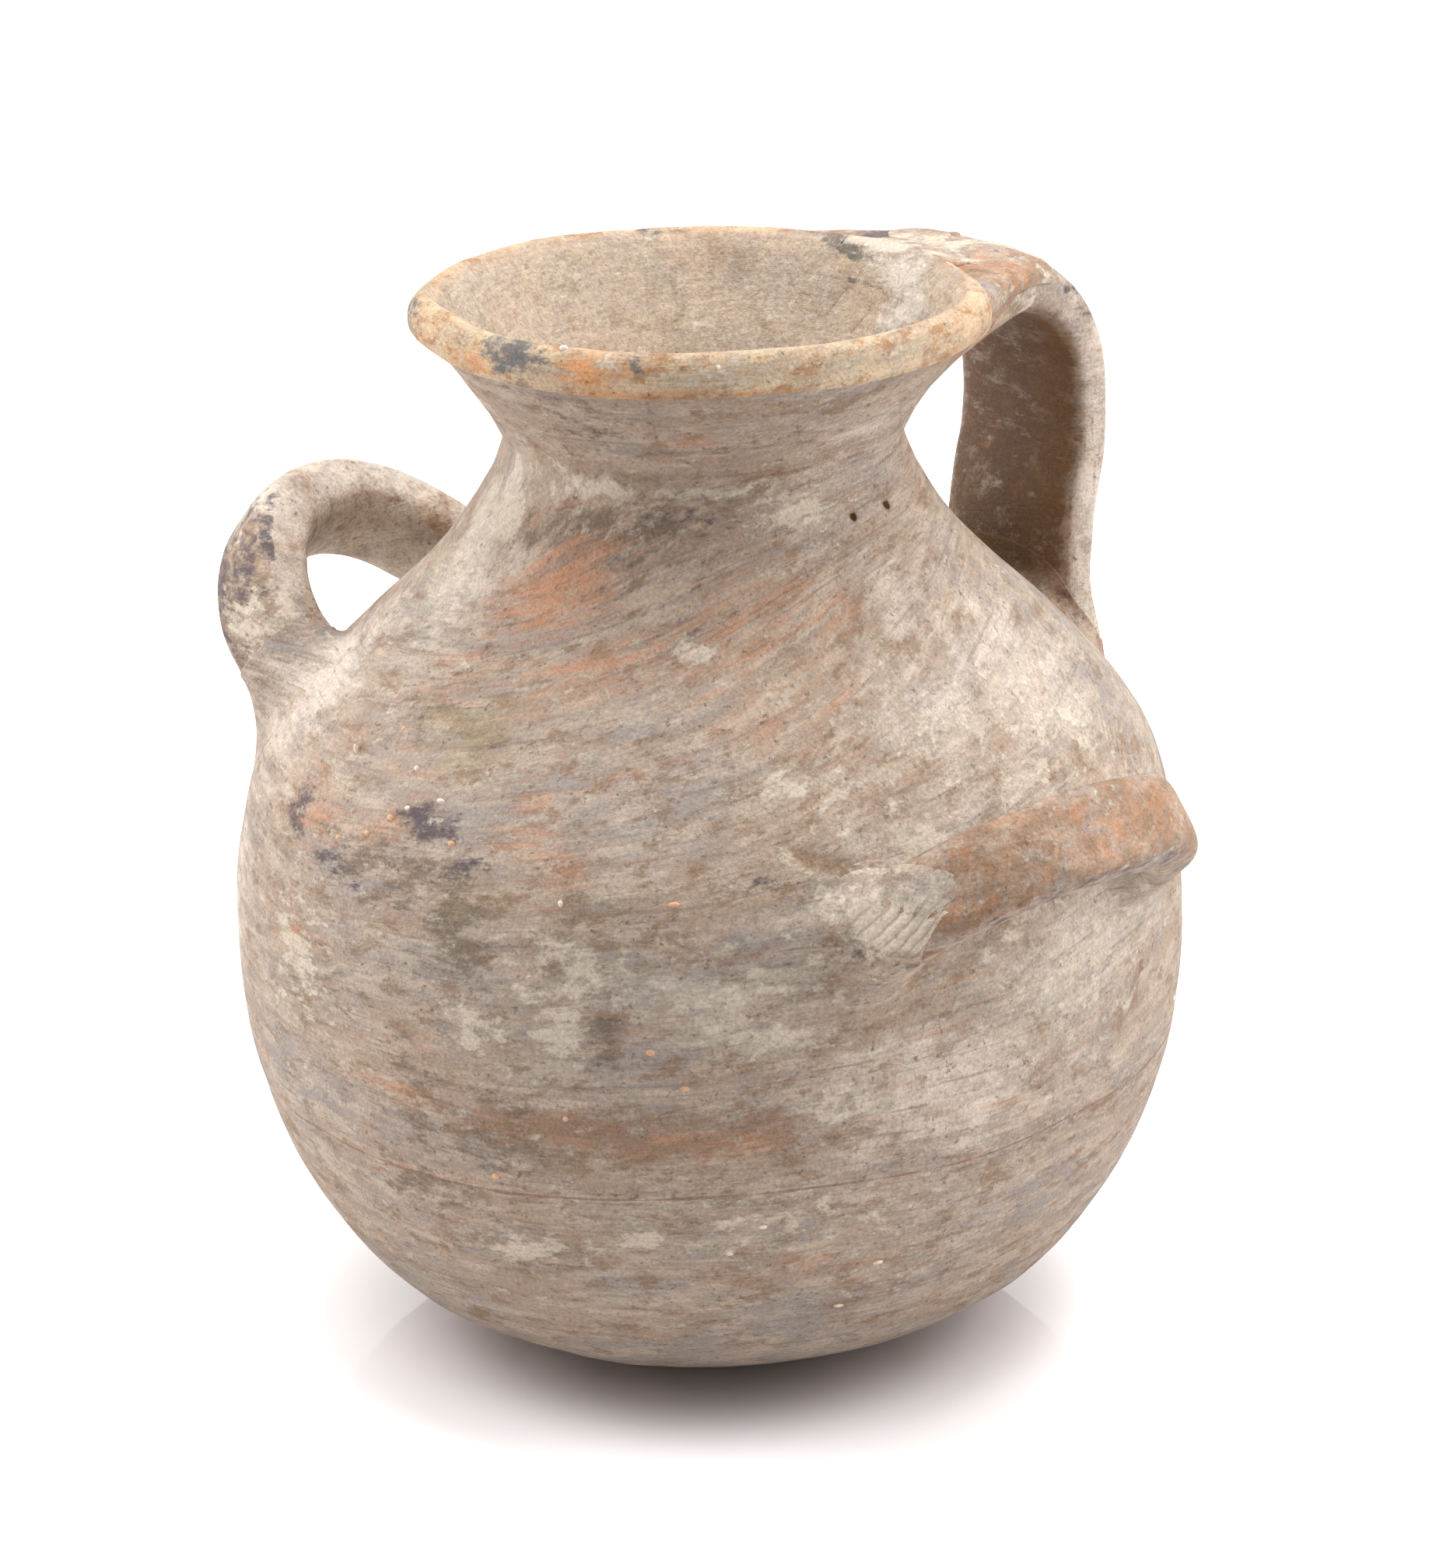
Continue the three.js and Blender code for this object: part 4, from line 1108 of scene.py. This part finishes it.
def make_grit(name, grains, material):
    """Flattened grains set in the wall, all in one piece."""
    stones = []
    for azimuth, height, length, width in grains:
        turn = (0, math.radians(GRAIN_TILT), math.radians(azimuth))
        place = jar_place(azimuth, height, -GRAIN_SINK)
        stones.append((place, GRAIN_RADIUS, turn, (GRAIN_DEPTH, length, width)))
    grit = join_stones(stones, 3)
    grit.name = name
    grit.data.name = name
    bpy.ops.object.transform_apply(location=True, rotation=True, scale=True)
    bpy.ops.object.shade_smooth()
    knead(grit)
    grit.data.materials.append(material)
    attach(grit, "root")


def dress(piece, node, slot, material):
    """Finishes a piece: unevenness, material, and its place in the frame."""
    knead(piece)
    piece.data.materials.clear()
    piece.data.materials.append(material)
    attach(piece, "root")
    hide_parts(node)


# Stage: floor, lights and camera
FLOOR_SIZE = 6
FLOOR_COLOUR = (0.75, 0.73, 0.73, 1)
FLOOR_SEEN_COLOUR = (1.35, 1.32, 1.34, 1)
# Painted shadow: to the camera the floor darkens to this colour within the first radius round the jar, and is
# white again past the open radius
FLOOR_PAINTED_SHADOW_COLOUR = (0.5, 0.45, 0.46, 1)
FLOOR_PAINTED_SHADOW_RADIUS = 36 * MM
FLOOR_OPEN_RADIUS = 67 * MM
FLOOR_GLOSS = 0.3
FLOOR_FAR_GLOSS = 0.06
FLOOR_ROUGHNESS = 0.04
WHITE = (1, 1, 1, 1)
WORLD_STRENGTH = 0.4


def make_floor():
    """A white sheet, glossier where the jar stands and with a painted shadow there: to the camera it is
    darker round the jar.

    Its seen colour is whiter than white, so that it clips to white off the shadow."""
    deselect_all()
    bpy.ops.mesh.primitive_plane_add(size=FLOOR_SIZE)
    floor = bpy.context.active_object
    floor.name = "floor"
    material, tree = new_material("white_acrylic_sheet")
    camera_ray = add(tree, "ShaderNodeLightPath").outputs["Is Camera Ray"]
    coords = add(tree, "ShaderNodeTexCoord").outputs["Object"]
    reach = add(tree, "ShaderNodeVectorMath", {0: coords}, operation="LENGTH").outputs["Value"]
    outside_painted_shadow = add(tree, "ShaderNodeMapRange", {
        "Value": reach, "From Min": FLOOR_PAINTED_SHADOW_RADIUS, "From Max": FLOOR_OPEN_RADIUS,
    }, interpolation_type="SMOOTHSTEP").outputs["Result"]
    seen = add(tree, "ShaderNodeMix", {
        0: outside_painted_shadow, 6: FLOOR_PAINTED_SHADOW_COLOUR, 7: FLOOR_SEEN_COLOUR,
    }, data_type="RGBA").outputs[2]
    colour = add(tree, "ShaderNodeMix", {
        0: camera_ray, 6: FLOOR_COLOUR, 7: seen,
    }, data_type="RGBA").outputs[2]
    diffuse = add(tree, "ShaderNodeBsdfDiffuse", {"Color": colour}).outputs["BSDF"]
    gloss = add(tree, "ShaderNodeBsdfGlossy", {"Color": WHITE, "Roughness": FLOOR_ROUGHNESS}).outputs["BSDF"]
    glossy = add(tree, "ShaderNodeMapRange", {
        "Value": outside_painted_shadow, "To Min": FLOOR_GLOSS, "To Max": FLOOR_FAR_GLOSS,
    }).outputs["Result"]
    mixed = add(tree, "ShaderNodeMixShader", {0: glossy, 1: diffuse, 2: gloss}).outputs["Shader"]
    add(tree, "ShaderNodeOutputMaterial", {"Surface": mixed})
    floor.data.materials.append(material)


def make_world():
    """White to the camera and in reflections, and dimmer as a light."""
    world = bpy.data.worlds.new("white_studio")
    bpy.context.scene.world = world
    world.use_nodes = True
    tree = world.node_tree
    tree.nodes.clear()
    rays = add(tree, "ShaderNodeLightPath").outputs
    seen = rays["Is Camera Ray"]
    for ray in ("Is Glossy Ray", "Is Transmission Ray"):
        seen = add(tree, "ShaderNodeMath", {0: rays[ray], 1: seen}, operation="MAXIMUM").outputs[0]
    strength = add(tree, "ShaderNodeMapRange", {
        "Value": seen, "To Min": WORLD_STRENGTH, "To Max": 1.0,
    }).outputs["Result"]
    background = add(tree, "ShaderNodeBackground", {"Color": WHITE, "Strength": strength})
    add(tree, "ShaderNodeOutputWorld", {"Surface": background.outputs["Background"]})


def make_softbox(name, place, aim, size, watts):
    deselect_all()
    bpy.ops.object.light_add(type="AREA", location=place)
    light = bpy.context.active_object
    light.name = name
    light.data.shape = "RECTANGLE"
    light.data.size, light.data.size_y = size
    light.data.energy = watts
    light.rotation_euler = (Vector(aim) - Vector(place)).to_track_quat("-Z", "Y").to_euler()


CAMERA_AZIMUTH = 52
CAMERA_ELEVATION = 20
CAMERA_ROLL = -0.9
CAMERA_DISTANCE = 1000 * MM
CAMERA_SIDESTEP = 1.18 * MM
CAMERA_AIM_HEIGHT = 93.7 * MM
CAMERA_LENS = 135.3
CAMERA_TURN = math.radians(CAMERA_AZIMUTH)
# To the right in the picture, and from the jar to the camera
RIGHTWARDS = Vector((math.cos(CAMERA_TURN), math.sin(CAMERA_TURN), 0))
FORWARDS = Vector((math.sin(CAMERA_TURN), -math.cos(CAMERA_TURN), 0))


def make_camera():
    elevation = math.radians(CAMERA_ELEVATION)
    back = FORWARDS * math.cos(elevation) + Vector((0, 0, math.sin(elevation)))
    aim = RIGHTWARDS * CAMERA_SIDESTEP + Vector((0, 0, CAMERA_AIM_HEIGHT))
    data = bpy.data.cameras.new("camera")
    camera = bpy.data.objects.new("camera", data)
    bpy.context.scene.collection.objects.link(camera)
    data.lens = CAMERA_LENS
    turned = (-back).to_track_quat("-Z", "Y").to_matrix().to_4x4()
    roll = Matrix.Rotation(math.radians(CAMERA_ROLL), 4, "Z")
    camera.matrix_world = Matrix.Translation(aim + back * CAMERA_DISTANCE) @ turned @ roll
    bpy.context.scene.camera = camera


# Softboxes: (name, to the right, towards the camera, up, width, height, watts), in metres
SOFTBOXES = [
    ("top_softbox", 0.1, -0.1, 1.1, 0.9, 0.9, 14),
    ("right_softbox", 0.95, 0.1, 0.5, 0.6, 0.9, 8.5),
    ("left_softbox", -0.95, -0.1, 0.45, 0.6, 0.9, 9.5),
]


def make_lights():
    aim = Vector((0, 0, RIM_HEIGHT / 2))
    for name, right, front, up, width, height, watts in SOFTBOXES:
        place = RIGHTWARDS * right + FORWARDS * front + Vector((0, 0, up))
        make_softbox(name, place, aim, (width, height), watts)


make_camera()
make_floor()
make_world()
make_lights()
bpy.context.scene.view_settings.view_transform = "Standard"

# Burnished in fine satin strokes, fired in an open hearth that left orange and sooty clouds, and crusted
# with pale dry lime from the soil
body_clay = weathered_earthenware("burnished_earthenware", BODY_TONES, 0.58, {})
# An ochre slip on the lip, worn through to darker clay at its edges
lip_clay = weathered_earthenware("ochre_slipped_earthenware", LIP_TONES, 0.55, {})
# Browner clay on the handles, smoothed by hands
handle_clay = weathered_earthenware("hand_worn_earthenware", HANDLE_TONES, 0.52, HANDLE_SIZES)

WALLS = [
    (make_base_disc(), "base_disc", "body_clay", body_clay),
    (wall_piece("bowl_clay", BASE_RIM_HEIGHT, SEAM_HEIGHT), "lower_bowl", "body_clay", body_clay),
    (wall_piece("shoulder_clay", SEAM_HEIGHT, NECK_COIL_HEIGHT), "upper_body", "body_clay", body_clay),
    (wall_piece("neck_clay", NECK_COIL_HEIGHT, MOUTH_FOOT_HEIGHT), "neck_coil", "body_clay", body_clay),
    (wall_piece("mouth_clay", MOUTH_FOOT_HEIGHT, RIM_HEIGHT), "mouth", "mouth_clay", body_clay),
    (make_rim(), "rim_coil", "rim_clay", lip_clay),
]
for piece, node, slot, material in WALLS:
    if node == "upper_body":
        punch_pits(piece, PITS)
    paint_jar(piece)
    dress(piece, node, slot, material)

strap = strap_bar()
right_loop = loop_bar(
    turn=3, spread=21.5, height=93.5, reach=25.5, cant=39, lean=3.6, fullness=0.83,
    width=15, thickness=10, squareness=3.6,
)
left_loop = loop_bar(
    turn=201, spread=24.3, height=111.5, reach=28.2, cant=37, lean=3, fullness=1,
    width=17, thickness=12.5, squareness=3,
)
# Daubs on the handles: (layer, share of its length, turn, half share, half turn, strength).
# A turn of 90 is the outer face and 270 the inner face. 0 and 180 are the edges, on the strap the far
# one and the one towards the camera.
HANDLES = [
    ("strap_clay", strap, "strap_handle", [
        # On the strap, the dark daubs on the inner face are painted shade over its brown, and the bloom along
        # the edge towards the camera is partly pale clay and partly a painted lit edge
        ("dusk_and_shade", 0.66, 270, 0.52, 62, 1.0), ("shade", 0.5, 238, 0.3, 26, 0.6),
        ("bloom", 0.65, 180, 0.42, 26, 0.9), ("lime", 0.07, 55, 0.08, 50, 0.85),
        ("rust", 0.12, 115, 0.07, 44, 0.35), ("soot", 0.3, 150, 0.08, 34, 0.6),
        ("brown_patches", 0.3, 90, 0.2, 80, 0.6), ("rust", 0.8, 80, 0.2, 60, 0.5),
        ("bloom", 0.22, 110, 0.1, 60, 0.6),
    ]),
    ("right_loop_clay", right_loop, "right_loop_handle", [
        ("rust", 0.45, 90, 0.4, 60, 0.45), ("soot", 0.4, 10, 0.5, 26, 0.55),
        ("soot", 0.42, 170, 0.5, 26, 0.6), ("brown_patches", 0.5, 90, 0.5, 90, 0.7),
        ("lime", 0.9, 270, 0.4, 60, 0.6),
    ]),
    ("left_loop_clay", left_loop, "left_loop_handle", [
        ("bloom", 0.5, 45, 0.45, 90, 0.9), ("lime", 0.85, 60, 0.12, 60, 0.5),
        ("shade", 0.35, 270, 0.4, 70, 0.2), ("soot", 0.68, 66, 0.16, 28, 0.72),
        ("soot", 0.66, 28, 0.12, 15, 0.82), ("soot", 0.7, 110, 0.18, 26, 0.75),
        ("brown_patches", 0.74, 80, 0.16, 60, 0.9), ("bloom", 0.34, 270, 0.34, 60, 0.9),
    ]),
]
for name, bar, node, daubs in HANDLES:
    handle = make_handle(name, bar)
    paint_handle(handle, daubs)
    dress(handle, node, "handle_clay", handle_clay)

# Headings away from a root on the jar
LEFT = math.pi
UP = math.pi / 2
DOWN = -math.pi / 2
UP_LEFT = math.radians(120)
DOWN_LEFT = math.radians(195)


def even(width):
    """The same width in every direction."""
    return lambda heading: width * MM


# Spread, reach and coat of a lute that is the same all round
EVEN_LUTE = (even(8), even(8), even(0.5))
# Lutes: name, handle, shares of its route inside and clear of the jar, node, fullness, spread, reach, coat
LUTES = [
    ("strap_rim", strap, 0, 0.4, "strap_rim_lute", 0.66,
     lambda heading: (6 - 5 * lobe(heading, UP, 2) + 16 * abs(math.cos(heading)) ** 3) * MM,
     lambda heading: (6 + 12 * abs(math.cos(heading)) ** 2) * MM, even(0.5)),
    ("strap_shoulder", strap, 1, 0.6, "strap_shoulder_lute", 0.45, *EVEN_LUTE),
    ("right_front", right_loop, 0, 0.5, "right_loop_front_lute", 0.45,
     lambda heading: (4 + 13 * lobe(heading, DOWN_LEFT, 3) + 2 * lobe(heading, DOWN, 2)) * MM,
     lambda heading: (4 + 2 * lobe(heading, LEFT, 2)) * MM,
     lambda heading: (1 + 16 * (0.5 + 0.5 * math.cos(heading - DOWN_LEFT)) ** 2) * MM),
    ("right_back", right_loop, 1, 0.5, "right_loop_back_lute", 0.45, *EVEN_LUTE),
    ("left_back", left_loop, 0, 0.5, "left_loop_back_lute", 0.45, *EVEN_LUTE),
    ("left_front", left_loop, 1, 0.5, "left_loop_front_lute", 0.45,
     lambda heading: (8 + 8 * lobe(heading, DOWN, 3) - 5.5 * lobe(heading, UP_LEFT, 1)) * MM,
     lambda heading: (9 - 6.5 * lobe(heading, UP_LEFT, 1)) * MM, even(0.5)),
]
for name, bar, inside, outside, node, fullness, spread_at, reach_at, coat_at in LUTES:
    lute = make_lute(name + "_luting", bar, inside, outside, fullness, spread_at, reach_at, coat_at)
    paint_jar(lute, ledge_share=0)
    dress(lute, node, "luting_clay", handle_clay if bar is strap else body_clay)
smear = make_smear()
paint_jar(smear)
dress(smear, "strap_rim_smear", "luting_clay", handle_clay)
make_grit("white_grit", WHITE_GRAINS, calcite_grit("white_calcite_grit", "#e3d3c1"))
make_grit("orange_grit", ORANGE_GRAINS, calcite_grit("orange_grog_grit", "#cf9d76"))
